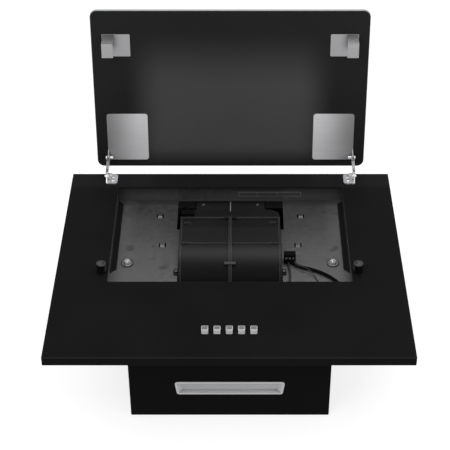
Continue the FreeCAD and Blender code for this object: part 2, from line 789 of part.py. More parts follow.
def blower_clips():
    """A spring clip over the double rib on the drum, and one over the flanges of the outlet"""
    base = scroll_radius + 2 * scroll_quarter_rise + scroll_wall
    rib = joint_rib_width
    top = base + joint_rib_height + clip_sheet
    saddle = block(-clip_length / 2, clip_length / 2, -clip_width / 2, clip_width / 2, base + face_gap, top)
    slot = block(-rib - pin_gap, rib + pin_gap, -clip_width, clip_width,
                 base, base + joint_rib_height + pin_gap)
    clip = saddle.cut(slot)
    clip.rotate(V(0, 0, 0), V(1, 0, 0), clip_angle - 90)
    clip.translate(V(0, scroll_y + scroll_quarter_rise, scroll_z + scroll_quarter_rise))
    high = scroll_top - slope_fall + outlet_flange_height
    reach = outlet_flange_width + clip_sheet
    cap = block(-clip_length / 2, clip_length / 2, outlet_y - reach, outlet_y + duct_flange_sheet + clip_sheet,
                high - outlet_flange_height / 2, high + clip_sheet)
    groove = block(-clip_length, clip_length, outlet_y - outlet_flange_width - pin_gap,
                   outlet_y + duct_flange_sheet + pin_gap, 0, high)
    slot = block(-rib - face_gap, rib + face_gap, outlet_y - reach - overrun, outlet_y, 0, hood_depth)
    save("blower_clips", clip, cap.cut(groove).cut(slot))


def pan_screw(x, y, seat, length, shank, head, height):
    """A pan-head screw that points down from its seat"""
    body = rod_z(seat - length, seat, x, y, shank).fuse(rod_z(seat, seat + height, x, y, head))
    crown = [e for e in body.Edges
             if abs(e.BoundBox.ZMin - seat - height) < pin_gap and e.BoundBox.XLength > head]
    return body.makeFillet(height / 2, crown)


def blower_screws():
    screws = []
    for side in (-1, 1):
        screws.append(pan_screw(side * lug_x, lug_y, lug_top, lug_screw_length, lug_screw_hole - pin_gap,
                                lug_screw_head, pan_head_height))
    save("blower_screws", *screws)


# Wheel: two rows of forward-curved blades on a centre disc, with an end ring each side
blade_inner_radius = 50.0
blade_count = 24
blade_gauge = 1.2
blade_sweep = 9.0
blade_bow_share = 0.25
wheel_half = 80.0
ring_width = 3.0
disc_sheet = 2.0
hub_radius = 10.0
hub_half = 8.0
shaft_radius = 4.0
shaft_reach = 22.0


def blade_face():
    """A thin forward-curved blade's section at X = 0, its root at the wheel's inner radius"""
    centre = (scroll_y, scroll_z)
    middle = (blade_inner_radius + wheel_radius) / 2
    turn = degrees(blade_gauge / middle)
    tip = wheel_radius - blade_gauge / 2
    bow = blade_sweep * blade_bow_share
    front = [polar(centre, blade_inner_radius, 0), polar(centre, middle, -bow),
             polar(centre, tip, -blade_sweep)]
    rear = [polar(centre, blade_inner_radius, -turn), polar(centre, middle, -bow - turn),
            polar(centre, tip, -blade_sweep - turn)]
    outline = front + rear[::-1]
    edges = [Part.LineSegment(a, b).toShape() for a, b in zip(outline, outline[1:] + outline[:1])]
    return Part.Face(Part.Wire(edges))


def impeller():
    face = blade_face()
    reach = wheel_half - ring_width / 2
    face.translate(V(-reach, 0, 0))
    blade = face.extrude(V(2 * reach, 0, 0))
    blades = []
    for i in range(blade_count):
        turned = blade.copy()
        turned.rotate(V(0, scroll_y, scroll_z), V(1, 0, 0), 360 * i / blade_count)
        blades.append(turned)
    disc = rod_x(-disc_sheet / 2, disc_sheet / 2, scroll_y, scroll_z, wheel_radius)
    hub = rod_x(-hub_half, hub_half, scroll_y, scroll_z, hub_radius)
    rings = []
    for x in (-wheel_half, wheel_half - ring_width):
        ring = rod_x(x, x + ring_width, scroll_y, scroll_z, wheel_radius)
        rings.append(ring.cut(rod_x(x - overrun, x + ring_width + overrun, scroll_y, scroll_z,
                                    blade_inner_radius)))
    wheel = disc.fuse([hub] + rings + blades)
    bore = rod_x(-hub_half - overrun, hub_half + overrun, scroll_y, scroll_z, shaft_radius)
    save("impeller", wheel.cut(bore))
    save("motor_shaft", rod_x(-hub_half, shaft_reach, scroll_y, scroll_z, shaft_radius))


# Motor inside the wheel, held by a three-armed mount at the right inlet
motor_start = 12.0
motor_end = 70.0
motor_radius = 35.0
motor_cap_radius = 27.0
motor_cap_length = 7.0
mount_hub = 14.0
mount_arm_width = 9.0
mount_sheet = 3.0
mount_ring_inner = 52.0


def motor():
    can = rod_x(motor_start + motor_cap_length, motor_end - motor_cap_length, scroll_y, scroll_z, motor_radius)
    caps = rod_x(motor_start, motor_end, scroll_y, scroll_z, motor_cap_radius)
    body = can.fuse(caps)
    rims = [e for e in body.Edges
            if e.BoundBox.XLength < pin_gap and abs(e.BoundBox.YLength - 2 * motor_radius) < pin_gap]
    body = body.makeFillet(motor_cap_length / 3, rims)
    bore = rod_x(motor_start - overrun, shaft_reach + face_gap, scroll_y, scroll_z, shaft_radius + pin_gap)
    save("motor", body.cut(bore))
    face = blower_half + inlet_lip
    hub = rod_x(motor_end, face + mount_sheet, scroll_y, scroll_z, mount_hub)
    ring = rod_x(face, face + mount_sheet, scroll_y, scroll_z, inlet_lip_radius)
    ring = ring.cut(rod_x(face - overrun, face + mount_sheet + overrun, scroll_y, scroll_z, mount_ring_inner))
    arms = []
    for angle in (90, 210, 330):
        arm = block(face, face + mount_sheet, scroll_y, scroll_y + mount_ring_inner + mount_sheet,
                    scroll_z - mount_arm_width / 2, scroll_z + mount_arm_width / 2)
        arm.rotate(V(0, scroll_y, scroll_z), V(1, 0, 0), angle)
        arms.append(arm)
    save("motor_mount", hub.fuse([ring] + arms).removeSplitter())


# Tray fasteners: studs with broad washers and hexagon nuts
washer_radius = 11.0
washer_sheet = 1.2
nut_flats = 10.0
nut_height = 5.0
stud_rise = 2.5
stud_head = 5.0
stud_head_height = 1.5


def hexagon(x, y, z, flats, height):
    corner = flats / 2 / cos(pi / 6)
    points = [(x + corner * cos(pi / 3 * i), y + corner * sin(pi / 3 * i)) for i in range(6)]
    return profile_z(points, z, z + height)


def tray_fasteners():
    sets = []
    for side in (-1, 1):
        x, y = side * stud_x, at_row(stud_row)
        low = tray_under - housing_sheet
        head = rod_z(low - stud_head_height, low, x, y, stud_head)
        shank = rod_z(low, tray_floor + washer_sheet + nut_height + stud_rise, x, y, stud_radius)
        washer = rod_z(tray_floor, tray_floor + washer_sheet, x, y, washer_radius)
        nut = hexagon(x, y, tray_floor + washer_sheet, nut_flats, nut_height)
        sets.append(head.fuse([shank, washer, nut]).removeSplitter())
    save("tray_fasteners", *sets)


# Electrical blocks on the tray and on the blower
terminal_x = (96.0, 117.0)
terminal_rows = (281.6, 298.0)
terminal_height = 17.0
terminal_step = 6.0
lead_entry = (108.0, 285.0, 3.2)
lead_entry_way = V(1, -1, 0)
lead_entry_length = 16.0
connector_x = (66.0, 90.0)
connector_depth = 12.0
connector_height = 9.0


def electrical_blocks():
    near = at_row(terminal_rows[0])
    far = near + terminal_rows[1] - terminal_rows[0]
    base = block(terminal_x[0], terminal_x[1], near, far, tray_floor, tray_floor + terminal_height)
    step = block(terminal_x[0] - overrun, terminal_x[1] + overrun, near - overrun, near + terminal_step,
                 tray_floor + terminal_height - terminal_step, hood_depth)
    block_body = rounded(base.cut(step), V(0, 0, 1), shell_bend / 2)
    x, row, rise = lead_entry
    entry = Part.makeCylinder(motor_lead_radius + pin_gap, lead_entry_length,
                              V(x, at_row(row), tray_floor + rise), lead_entry_way)
    save("terminal_block", block_body.cut(entry))
    seat = outlet_y + duct_flange_sheet
    low = scroll_top - slope_fall
    body = block(-connector_x[1], -connector_x[0], seat, seat + connector_depth, low, low + connector_height)
    save("wire_connector", rounded(body, V(0, 0, 1), shell_bend / 2))


# Capacitor of the motor, an upright can on the back wall
capacitor_x = -125.0
capacitor_row = 410.0
capacitor_radius = 14.0
capacitor_height = 50.0
capacitor_foot = 17.0
capacitor_foot_height = 4.0


def capacitor():
    y = at_row(capacitor_row)
    can = rod_z(housing_sheet, housing_sheet + capacitor_height, capacitor_x, y, capacitor_radius)
    top = housing_sheet + capacitor_height
    rim = [e for e in can.Edges
           if abs(e.BoundBox.ZMin - top) < pin_gap and e.BoundBox.XLength > capacitor_radius]
    can = can.makeFillet(shell_bend, rim)
    foot = rod_z(housing_sheet, housing_sheet + capacitor_foot_height, capacitor_x, y, capacitor_foot)
    save("capacitor", can.fuse(foot).removeSplitter())


# Leads held inside the hood, each a tube along straight runs joined by tangent arcs
motor_lead_radius = 2.75
lamp_lead_radius = 2.0
earth_lead_radius = 0.9
capacitor_lead_radius = 1.2
run_share = 0.45
lead_run = 10.0


entry_out = (lead_entry[0] + lead_entry_way.x * lead_run, lead_entry[1] + lead_entry_way.y * lead_run,
             lead_entry[2])
motor_lead_route = [
    lead_entry, entry_out, (127.5, 269.9, 3.1), (141.0, 265.5, 3.1), (160.0, 256.0, 3.1), (177.0, 243.0, 3.1),
    (190.0, 227.0, 3.1), (197.0, 208.0, 3.1), (196.0, 188.0, 3.2), (188.0, 168.0, 3.6), (177.0, 150.0, 5.0),
    (166.0, 133.0, 8.5), (156.5, 114.5, 13.0), (151.5, 97.0, 16.0), (147.5, 80.0, 17.2), (135.0, 67.5, 17.6),
    (117.0, 62.5, 17.0), (97.0, 62.2, 16.2), (80.5, 62.0, 16.0)]
lamp_lead_route = [
    (104.5, 281.6, 2.6), (104.5, 271.0, 2.6), (106.0, 258.0, 2.4), (105.8, 240.0, 2.4), (104.0, 222.0, 2.4),
    (102.0, 203.0, 2.4), (101.0, 184.0, 2.5), (101.0, 170.0, 2.5), (101.0, 159.0, -3.0), (101.0, 151.0, -13.0),
    (99.0, 146.5, -26.0), (94.5, 145.0, -42.0), (87.5, 144.0, -58.0), (79.0, 142.5, -75.0),
    (71.0, 139.0, -93.0),
    (64.5, 133.5, -112.0), (60.5, 127.0, -129.0), (58.5, 123.0, -143.0)]
earth_lead_route = [
    (115.0, 281.6, 7.6), (115.0, 275.0, 7.6), (119.0, 269.5, 7.8), (126.0, 265.5, 8.2), (134.0, 262.5, 8.0),
    (141.0, 257.5, 6.2), (146.5, 250.5, 3.6), (150.5, 243.0, 1.5), (153.5, 236.0, 1.0), (156.0, 230.5, 1.0)]
capacitor_lead_route = [
    (-79.0, 412.0, 24.5), (-81.5, 419.0, 24.0), (-87.5, 422.0, 22.0), (-93.3, 419.0, 18.5),
    (-95.8, 411.5, 12.5),
    (-95.8, 403.5, 4.0), (-95.5, 397.5, -9.0), (-95.8, 394.5, -24.0), (-98.0, 395.0, -44.0),
    (-103.5, 398.5, -64.0),
    (-111.5, 403.5, -83.0), (-119.5, 407.8, -101.0), (-125.0, 410.0, -118.0)]


def on_route(x, row, rise):
    """A point of a lead. One under the tray keeps its share of the tray's height over the back wall"""
    if rise < 0:
        rise = rise * tray_floor / drawn_tray_height
    return V(x, at_row(row), tray_floor + rise)


def lead(node, radius, route):
    """One lead along its route: straight runs joined by tangent arcs"""
    edges, start, radii = [], route[0], []
    for before, corner, after in zip(route, route[1:], route[2:]):
        back, ahead = before - corner, after - corner
        half_turn = (pi - back.getAngle(ahead)) / 2
        reach = run_share * min(back.Length, ahead.Length)
        radii.append(reach / tan(half_turn))
        into = corner + back.normalize() * reach
        out = corner + ahead.normalize() * reach
        inward = (back + ahead).normalize()
        middle = corner + inward * (radii[-1] / cos(half_turn) - radii[-1])
        edges.append(Part.LineSegment(start, into).toShape())
        edges.append(Part.Arc(into, middle, out).toShape())
        start = out
    edges.append(Part.LineSegment(start, route[-1]).toShape())
    path = Part.Wire(edges)
    ring = Part.Wire(Part.makeCircle(radius, route[0], route[1] - route[0]))
    tube = path.makePipeShell([ring], True, False)
    share = tube.Volume / (pi * radius ** 2 * path.Length)
    print(node, "length", round(path.Length, 1), "least radius", round(min(radii), 1),
          "share", round(share, 4))
    save(node, tube)


def leads():
    route = [on_route(*point) for point in motor_lead_route]
    last = V(switch_half + switch_ear, button_y, route[-1].z)
    lead("motor_lead", motor_lead_radius, route + [last])
    route = [on_route(*point) for point in lamp_lead_route]
    last = V(route[-1].x, route[-1].y, housing_sheet + driver_size[2])
    lead("lamp_lead", lamp_lead_radius, route + [last])
    lead("earth_lead", earth_lead_radius, [on_route(*point) for point in earth_lead_route])
    route = [on_route(*point) for point in capacitor_lead_route]
    first = V(route[0].x, outlet_y + duct_flange_sheet + connector_depth, route[0].z)
    last = V(route[-1].x, route[-1].y, housing_sheet + capacitor_height)
    lead("capacitor_lead", capacitor_lead_radius, [first] + route + [last])


# Switch behind the plate, with five push buttons
switch_half = 56.0
switch_length = 36.0
switch_drop = 11.5
switch_height = 19.0
switch_ear = 9.0
button_rise = 8.8
button_skirt = 4.8
button_dish = 0.4
button_rim = 1.0
button_bevel = 0.6
stem_radius = 2.5
stem_length = 13.0
stem_well_gap = 0.12


def switch_body():
    near = button_y - switch_length / 2
    far = button_y + switch_length / 2
    top = plate_under - switch_drop
    case = block(-switch_half, switch_half, near, far, top - switch_height, top)
    case = rounded(case, V(0, 0, 1), shell_bend)
    for side in (-1, 1):
        tip = side * (switch_half + switch_ear)
        low, high = sorted((side * (switch_half - plate_corner), tip))
        case = case.fuse(block(low, high, button_y - switch_ear, button_y + switch_ear,
                               top - switch_height, plate_under))
    wells = []
    for x in button_places:
        floor = hood_depth - plate_sheet - button_skirt - stem_length - button_travel - face_gap
        wells.append(rod_z(floor, top + overrun, x, button_y, stem_radius + stem_well_gap))
    save("switch_body", case.cut(Part.makeCompound(wells)).removeSplitter())


def buttons():
    low = hood_depth - plate_sheet - button_skirt
    top = hood_depth + button_rise
    for number, x in enumerate(button_places, 1):
        cap = button_block(x, 0, low, top)
        cap = cap.makeChamfer(button_bevel, [e for e in cap.Edges if abs(e.BoundBox.ZMin - top) < pin_gap])
        dish = button_block(x, -button_rim, top - button_dish, top + overrun)
        stem = rod_z(low - stem_length, low, x, button_y, stem_radius)
        save("button_" + str(number), cap.cut(dish).fuse(stem).removeSplitter())


# Catch posts: black sleeves beside the opening, with a magnet in the top of each
post_radius = 8.4
magnet_radius = 5.5
magnet_height = 3.0
magnet_sink = 0.4
post_screw_radius = 2.0
post_screw_bite = 8.0
keeper_sheet = 1.5
keeper_reach = 28.5

post_height = panel_closed_gap - keeper_reach - face_gap


def catch_posts():
    top = hood_depth + post_height
    post = rod_z(hood_depth, top, post_x, post_y, post_radius)
    rims = [e for e in post.Edges
            if abs(e.BoundBox.ZMin - top) < pin_gap and e.BoundBox.XLength > post_radius]
    post = post.makeFillet(keeper_sheet / 2, rims)
    pocket = rod_z(top - magnet_height - magnet_sink, top + overrun, post_x, post_y, magnet_radius)
    screw_hole = rod_z(hood_depth - overrun, hood_depth + post_screw_bite, post_x, post_y, post_screw_radius)
    post = post.cut(pocket).cut(screw_hole)
    save("catch_post_right", post)
    save("catch_post_left", mirrored(post))
    magnet = rod_z(top - magnet_height - magnet_sink, top - magnet_sink, post_x, post_y, magnet_radius)
    save("catch_magnets", magnet, mirrored(magnet))
    seat = plate_under - tray_sheet
    screw = rod_z(seat, hood_depth + post_screw_bite, post_x, post_y, post_screw_radius)
    screw = screw.fuse(rod_z(seat - pan_head_height, seat, post_x, post_y, pan_head_radius))
    save("post_screws", screw, mirrored(screw))


# Hinges: a foot on the plate, a forked arm, and a bracket bonded to the panel, joined by two pins each side
fork_centre = 233.5
fork_width = 5.0
fork_slot = 2.2
fork_depth = 15.0
arm_radius = 5.0
ear_sheet = 1.6
ear_radius = 5.4
ear_shoulder_shares = (0.8, 0.6)
hinge_pin = 2.0
pin_head_radius = 3.4
pin_head_height = 2.4
pin_tail_radius = 2.7
rivet_head_radius = 2.9
rivet_head_height = 1.2
lower_tail = 1.0
upper_tail = 6.0
lower_pivot_rise = 8.0
upper_pivot_reach = 48.5
upper_pivot_rise = 18.0
pivot_from_panel_edge = 23.2
pivot_from_panel_face = 10.0
foot_ends = (14.5, 14.9)
foot_inner = 213.5
foot_sheet = 2.0
foot_corner = 5.0
foot_ear_half = 12.0
stop_sheet = 2.0
stop_reach = 6.0
foot_screw_radius = 2.0
foot_screw_head = 3.6
foot_screw_head_height = 1.6
foot_screw_length = 8.0

lower_pivot = (at_row(lower_pivot_row), hood_depth + lower_pivot_rise)
upper_pivot = (lower_pivot[0] + upper_pivot_reach, hood_depth + upper_pivot_rise)
arm_length = hypot(upper_pivot[0] - lower_pivot[0], upper_pivot[1] - lower_pivot[1])
arm_open = degrees(atan2(upper_pivot[1] - lower_pivot[1], upper_pivot[0] - lower_pivot[0]))
closed_rise = panel_closed_gap - pivot_from_panel_face - lower_pivot_rise
arm_closed = 180 - degrees(asin(closed_rise / arm_length))
arm_swing = arm_closed - arm_open
panel_lean = 180 - panel_turn_degrees
ear_x = fork_centre + ear_sheet / 2
fork_out = fork_centre + fork_width / 2
fork_in = fork_centre - fork_width / 2


def print_motion():
    print("upper pivot", upper_pivot, "lower pivot", lower_pivot, "arm", round(arm_length, 2))
    print("arm open", round(arm_open, 3), "closed", round(arm_closed, 3), "swing", round(arm_swing, 3))
    print("panel turn against the arm", round(panel_turn_degrees - arm_swing, 3),
          "ratio", round(panel_turn_degrees / arm_swing - 1, 5))


def place_on_panel(shape):
    """Turns a piece from the panel's own frame to where the open panel stands. There X runs across, Y up the
    panel from its hinge edge, and Z out of its inner face"""
    placed = shape.copy()
    placed.rotate(V(0, 0, 0), V(1, 0, 0), panel_lean)
    up = V(0, cos(radians(panel_lean)), sin(radians(panel_lean)))
    out = V(0, -sin(radians(panel_lean)), cos(radians(panel_lean)))
    pivot = V(0, upper_pivot[0], upper_pivot[1])
    placed.translate(pivot - up * pivot_from_panel_edge - out * pivot_from_panel_face)
    return placed


def eye(points, y, z, radius, x0, x1, hole):
    """A sheet-metal ear: an outline joined to a round eye, with a pin hole"""
    body = profile_x(points, x0, x1).fuse(rod_x(x0, x1, y, z, radius))
    return body.cut(rod_x(x0 - overrun, x1 + overrun, y, z, hole))


def hinge_feet():
    near, far = lower_pivot[0] - foot_ends[0], lower_pivot[0] + foot_ends[1]
    top = hood_depth + foot_sheet
    base = block(foot_inner, ear_x, near, far, hood_depth, top)
    base = rounded(base, V(0, 0, 1), foot_corner, lambda p: p.x < fork_in)
    y, z = lower_pivot
    ear_near, ear_far = y - foot_ear_half, y + foot_ear_half
    aside, rise = [ear_radius * share for share in ear_shoulder_shares]
    outline = [(ear_near, hood_depth), (ear_far, hood_depth), (ear_far, top),
               (y + aside, z + rise), (y - aside, z + rise), (ear_near, top)]
    ear = eye(outline, y, z, ear_radius, ear_x - ear_sheet, ear_x, hinge_pin)
    under = (far - y) * tan(radians(arm_open)) - arm_radius / cos(radians(arm_open))
    stop = block(fork_in - stop_reach, ear_x - ear_sheet - face_gap, far - stop_sheet, far, hood_depth,
                 z + under - face_gap - stop_sheet * tan(radians(arm_open)))
    foot = base.fuse([ear, stop])
    for offset in foot_screw_offsets:
        foot = foot.cut(rod_z(hood_depth - overrun, top + overrun,
                              foot_screw_x, at_row(lower_pivot_row) + offset, foot_screw_hole))
    foot = foot.removeSplitter()
    save("hinge_foot_right", foot)
    save("hinge_foot_left", mirrored(foot))
    screws = []
    for offset in foot_screw_offsets:
        screw = pan_screw(foot_screw_x, at_row(lower_pivot_row) + offset, top,
                          foot_screw_length, foot_screw_radius,
                          foot_screw_head, foot_screw_head_height)
        screws += [screw, mirrored(screw)]
    save("hinge_screws", *screws)


def hinge_arms():
    """A forked arm, drawn along +Y from the lower pivot and then turned to its open angle"""
    bar = block(fork_in, fork_out, 0, arm_length, -arm_radius, arm_radius)
    bar = bar.fuse([rod_x(fork_in, fork_out, 0, 0, arm_radius),
                    rod_x(fork_in, fork_out, arm_length, 0, arm_radius)])
    bar = bar.removeSplitter()
    for y in (0, arm_length):
        slot = block(fork_centre - fork_slot / 2, fork_centre + fork_slot / 2,
                     y - fork_depth, y + fork_depth, -2 * arm_radius, 2 * arm_radius)
        hole = rod_x(fork_in - overrun, fork_out + overrun, y, 0, hinge_pin + pin_gap)
        bar = bar.cut(slot).cut(hole)
    bar.rotate(V(0, 0, 0), V(1, 0, 0), arm_open)
    bar.translate(V(0, lower_pivot[0], lower_pivot[1]))
    save("hinge_arm_right", bar)
    save("hinge_arm_left", mirrored(bar))


def hinge_pin_solid(pivot, tail, head_radius, head_height):
    y, z = pivot
    out = fork_out + face_gap
    into = fork_in - face_gap
    shank = rod_x(into, out, y, z, hinge_pin)
    head = rod_x(out, out + head_height, y, z, head_radius)
    end = out + head_height
    rim = [e for e in head.Edges if abs(e.BoundBox.XMin - end) < pin_gap and e.BoundBox.YLength > hinge_pin]
    head = head.makeFillet(head_height / 3, rim)
    return shank.fuse([head, rod_x(into - tail, into, y, z, pin_tail_radius)]).removeSplitter()


def hinge_pins():
    lower = hinge_pin_solid(lower_pivot, lower_tail, rivet_head_radius, rivet_head_height)
    save("lower_pin_right", lower)
    save("lower_pin_left", mirrored(lower))
    upper = hinge_pin_solid(upper_pivot, upper_tail, pin_head_radius, pin_head_height)
    save("upper_pin_right", upper)
    save("upper_pin_left", mirrored(upper))


# Pieces on the panel, drawn in the panel's own frame
panel_corner = 13.0
panel_edge_bevel = 0.8
bracket_inner = 157.0
bracket_rows = (14.7, 109.7)
bracket_sheet = 1.6
bracket_corner = 5.0
bracket_ear_rows = (16.7, 36.7)
keeper_inner = 184.3
keeper_outer = 235.8
keeper_rows = (225.4, 268.2)
keeper_tab_inner = 213.7
keeper_tab_outer = 234.3
keeper_tab_row = 232.5
keeper_bend_row = 259.2
keeper_corner = 2.0


def service_panel():
    half = panel_width / 2
    glass = block(-half, half, 0, panel_height, -panel_glass, 0)
    glass = rounded(glass, V(0, 0, 1), panel_corner)
    rims = [e for e in glass.Edges if e.BoundBox.ZLength < pin_gap]
    glass = glass.makeChamfer(panel_edge_bevel, rims)
    save("service_panel", place_on_panel(glass))


def panel_brackets():
    plate = block(bracket_inner, ear_x, bracket_rows[0], bracket_rows[1], 0, bracket_sheet)
    plate = rounded(plate, V(0, 0, 1), bracket_corner)
    y, z = pivot_from_panel_edge, pivot_from_panel_face
    near, far = bracket_ear_rows
    aside, rise = [ear_radius * share for share in ear_shoulder_shares]
    outline = [(near + bracket_corner, 0), (far, 0), (far, bracket_sheet * 2), (y + aside, z + rise),
               (y - aside, z + rise), (near, z - rise), (near, bracket_sheet)]
    ear = eye(outline, y, z, ear_radius, ear_x - ear_sheet, ear_x, hinge_pin)
    plate = place_on_panel(plate.fuse(ear).removeSplitter())
    save("panel_bracket_right", plate)
    save("panel_bracket_left", mirrored(plate))


def keepers():
    base = block(keeper_inner, keeper_outer, keeper_rows[0], keeper_rows[1], 0, keeper_sheet)
    base = rounded(base, V(0, 0, 1), keeper_corner)
    tip = keeper_reach - keeper_sheet
    far = keeper_rows[1]
    slope = (far - keeper_bend_row) / keeper_reach
    skin = keeper_sheet * sqrt(1 + slope ** 2)
    outline = [(far - skin, 0), (far, 0), (keeper_bend_row, keeper_reach), (keeper_tab_row, keeper_reach),
               (keeper_tab_row, tip), (keeper_bend_row + slope * keeper_sheet - skin, tip)]
    strap = profile_x(outline, keeper_tab_inner, keeper_tab_outer)
    keeper = place_on_panel(base.fuse(strap).removeSplitter())
    save("keeper_right", keeper)
    save("keeper_left", mirrored(keeper))


# Cable gland in the upper end wall
gland_flange = 11.0
gland_flange_sheet = 3.0
gland_out = 14.0
gland_in = 6.0
gland_bore = 3.8
gland_inner_bore = 4.7
gland_step = 0.5


def cable_gland():
    face = housing_far
    body = rod_y(face, face + gland_out, gland_x, gland_z, gland_radius)
    body = body.fuse(rod_y(face - housing_sheet - gland_in, face, gland_x, gland_z, gland_radius - pin_gap))
    flange = rod_y(face, face + gland_flange_sheet, gland_x, gland_z, gland_flange)
    bore = rod_y(face, face + gland_out + overrun, gland_x, gland_z, gland_bore)
    wide = rod_y(face - end_fold - gland_in, face + gland_step, gland_x, gland_z, gland_inner_bore)
    save("cable_gland", body.fuse(flange).cut(bore.fuse(wide)).removeSplitter())


os.makedirs("parts", exist_ok=True)
front_plate()
tray()
side_rail()
housing_shell()
lamp_plate()
lamp()
outlet_plate()
closing_strip()
duct_collar()
flaps()
blower_shell()
outlet_duct()
blower_clips()
blower_screws()
impeller()
motor()
tray_fasteners()
electrical_blocks()
capacitor()
leads()
switch_body()
buttons()
catch_posts()
hinge_feet()
hinge_arms()
hinge_pins()
service_panel()
panel_brackets()
keepers()
cable_gland()
print_motion()
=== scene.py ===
import math
import bmesh
import bpy
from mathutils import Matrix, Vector


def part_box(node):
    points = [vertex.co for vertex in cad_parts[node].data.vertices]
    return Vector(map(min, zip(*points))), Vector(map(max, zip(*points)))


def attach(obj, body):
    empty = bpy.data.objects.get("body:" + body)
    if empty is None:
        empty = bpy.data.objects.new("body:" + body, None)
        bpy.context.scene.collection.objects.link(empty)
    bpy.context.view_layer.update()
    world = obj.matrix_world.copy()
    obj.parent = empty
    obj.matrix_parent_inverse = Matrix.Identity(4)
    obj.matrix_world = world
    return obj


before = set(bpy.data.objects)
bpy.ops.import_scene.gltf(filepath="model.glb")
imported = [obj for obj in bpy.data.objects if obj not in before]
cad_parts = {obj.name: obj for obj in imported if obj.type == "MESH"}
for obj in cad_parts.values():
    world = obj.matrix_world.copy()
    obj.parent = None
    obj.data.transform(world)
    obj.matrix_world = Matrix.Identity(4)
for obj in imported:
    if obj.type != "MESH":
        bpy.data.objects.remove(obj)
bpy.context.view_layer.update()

# Camera of the photograph: a long lens in front of the hood's lower edge, which looks down onto the plate.
# It is fitted to the corners of the plate, of the opening and of the housing.
camera_place = (0.014, -1.7825, 1.6351)
camera_tilt_degrees = 52.45
camera_lens = 102.63
camera_sensor = 36.0
camera_shift = (-0.0287, -0.00133)


def add_object(name, data):
    thing = bpy.data.objects.new(name, data)
    bpy.context.scene.collection.objects.link(thing)
    return thing


def make_camera():
    data = bpy.data.cameras.new("camera")
    data.lens = camera_lens
    data.sensor_width = camera_sensor
    data.shift_x, data.shift_y = camera_shift
    camera = add_object("camera", data)
    camera.location = camera_place
    camera.rotation_euler = (math.radians(camera_tilt_degrees), 0.0, 0.0)
    bpy.context.scene.camera = camera


make_camera()
bpy.context.scene.view_settings.view_transform = "Standard"

# Studio: a pale matt floor that keeps the hood's shadow, and a surround that is white to the camera and grey
# to the object. Three broad lamps light the hood at a plain level, each turned towards its middle.
white = (1.0, 1.0, 1.0, 1.0)
floor_half = 6.0
floor_colour = (0.5, 0.5, 0.5, 1.0)
floor_roughness = 0.9
floor_lift = 0.75
surround_fill = 0.42
surround_white = 1.0
lamps = (("lamp_key", (-1.3, -1.5, 2.3), (1.6, 1.6), 24.0),
         ("lamp_top", (0.5, 0.5, 2.6), (1.8, 1.4), 16.0),
         ("lamp_right", (1.9, -0.8, 1.3), (1.2, 1.2), 8.0))


def feed(tree, socket, value):
    """Gives a socket a plain value, or the output that it comes from"""
    if isinstance(value, bpy.types.NodeSocket):
        tree.links.new(value, socket)
    else:
        socket.default_value = value


def add_node(tree, kind, inputs=None, **settings):
    """A new node with its settings, and with its inputs fed"""
    node = tree.nodes.new("ShaderNode" + kind)
    for name, value in settings.items():
        setattr(node, name, value)
    for name, value in (inputs or {}).items():
        feed(tree, node.inputs[name], value)
    return node


def maths(tree, operation, *values):
    """One sum of plain values or outputs"""
    return add_node(tree, "Math", dict(enumerate(values)), operation=operation).outputs[0]


def between(tree, value, low, high):
    """The value, spread from low to high"""
    return add_node(tree, "MapRange", {"Value": value, "To Min": low, "To Max": high}).outputs["Result"]


def new_material(name):
    """A material with its node tree and its shader"""
    material = bpy.data.materials.new(name)
    material.use_nodes = True
    tree = material.node_tree
    return material, tree, tree.nodes["Principled BSDF"]


def seen(tree):
    """1 where a ray comes from the camera, from a gloss or through glass"""
    rays = add_node(tree, "LightPath").outputs
    direct = maths(tree, "MAXIMUM", rays["Is Camera Ray"], rays["Is Glossy Ray"])
    return maths(tree, "MAXIMUM", direct, rays["Is Transmission Ray"])


def make_floor():
    mesh = bpy.data.meshes.new("floor")
    corners = [(x * floor_half, y * floor_half, 0.0) for x, y in ((-1, -1), (1, -1), (1, 1), (-1, 1))]
    mesh.from_pydata(corners, [], [(0, 1, 2, 3)])
    material, tree, shader = new_material("floor")
    feed(tree, shader.inputs["Base Color"], floor_colour)
    feed(tree, shader.inputs["Roughness"], floor_roughness)
    feed(tree, shader.inputs["Specular IOR Level"], 0.0)
    feed(tree, shader.inputs["Emission Color"], white)
    feed(tree, shader.inputs["Emission Strength"], maths(tree, "MULTIPLY", seen(tree), floor_lift))
    mesh.materials.append(material)
    floor = add_object("floor", mesh)


def make_surround():
    world = bpy.data.worlds.new("surround")
    world.use_nodes = True
    tree = world.node_tree
    background = tree.nodes["Background"]
    feed(tree, background.inputs["Color"], white)
    feed(tree, background.inputs["Strength"], between(tree, seen(tree), surround_fill, surround_white))
    bpy.context.scene.world = world


def make_lamps():
    for name, place, size, power in lamps:
        data = bpy.data.lights.new(name, "AREA")
        data.shape = "RECTANGLE"
        data.size, data.size_y = size
        data.energy = power
        lamp = add_object(name, data)
        lamp.location = place
        lamp.rotation_euler = (-Vector(place)).to_track_quat("-Z", "Y").to_euler()


make_floor()
make_surround()
make_lamps()

# Housing: a box of folded steel sheet, its back and sides in one piece between two folded end walls, with a
# strip welded to the upper one. All are powder coated black, with a painted highlight along their folds and
# edges.
number_socket, vector_socket = "NodeSocketFloat", "NodeSocketVector"
noise_ends = (0.25, 0.75)
edge_turns = (0.995, 0.93)
shade_samples = 8
shade_ends = (0.25, 0.85)
speckle = {"Scale": (1400.0, 1400.0, 1400.0), "Detail": 2.0, "Roughness": 0.6}
clouds = {"Scale": (9.0, 9.0, 9.0), "Detail": 3.0, "Roughness": 0.5}
fine_share = 0.5
coarse_relief = 0.00002
grey_tinge = 1.02


def grey(level):
    """A grey with a trace of blue"""
    return level, level, level * grey_tinge, 1.0


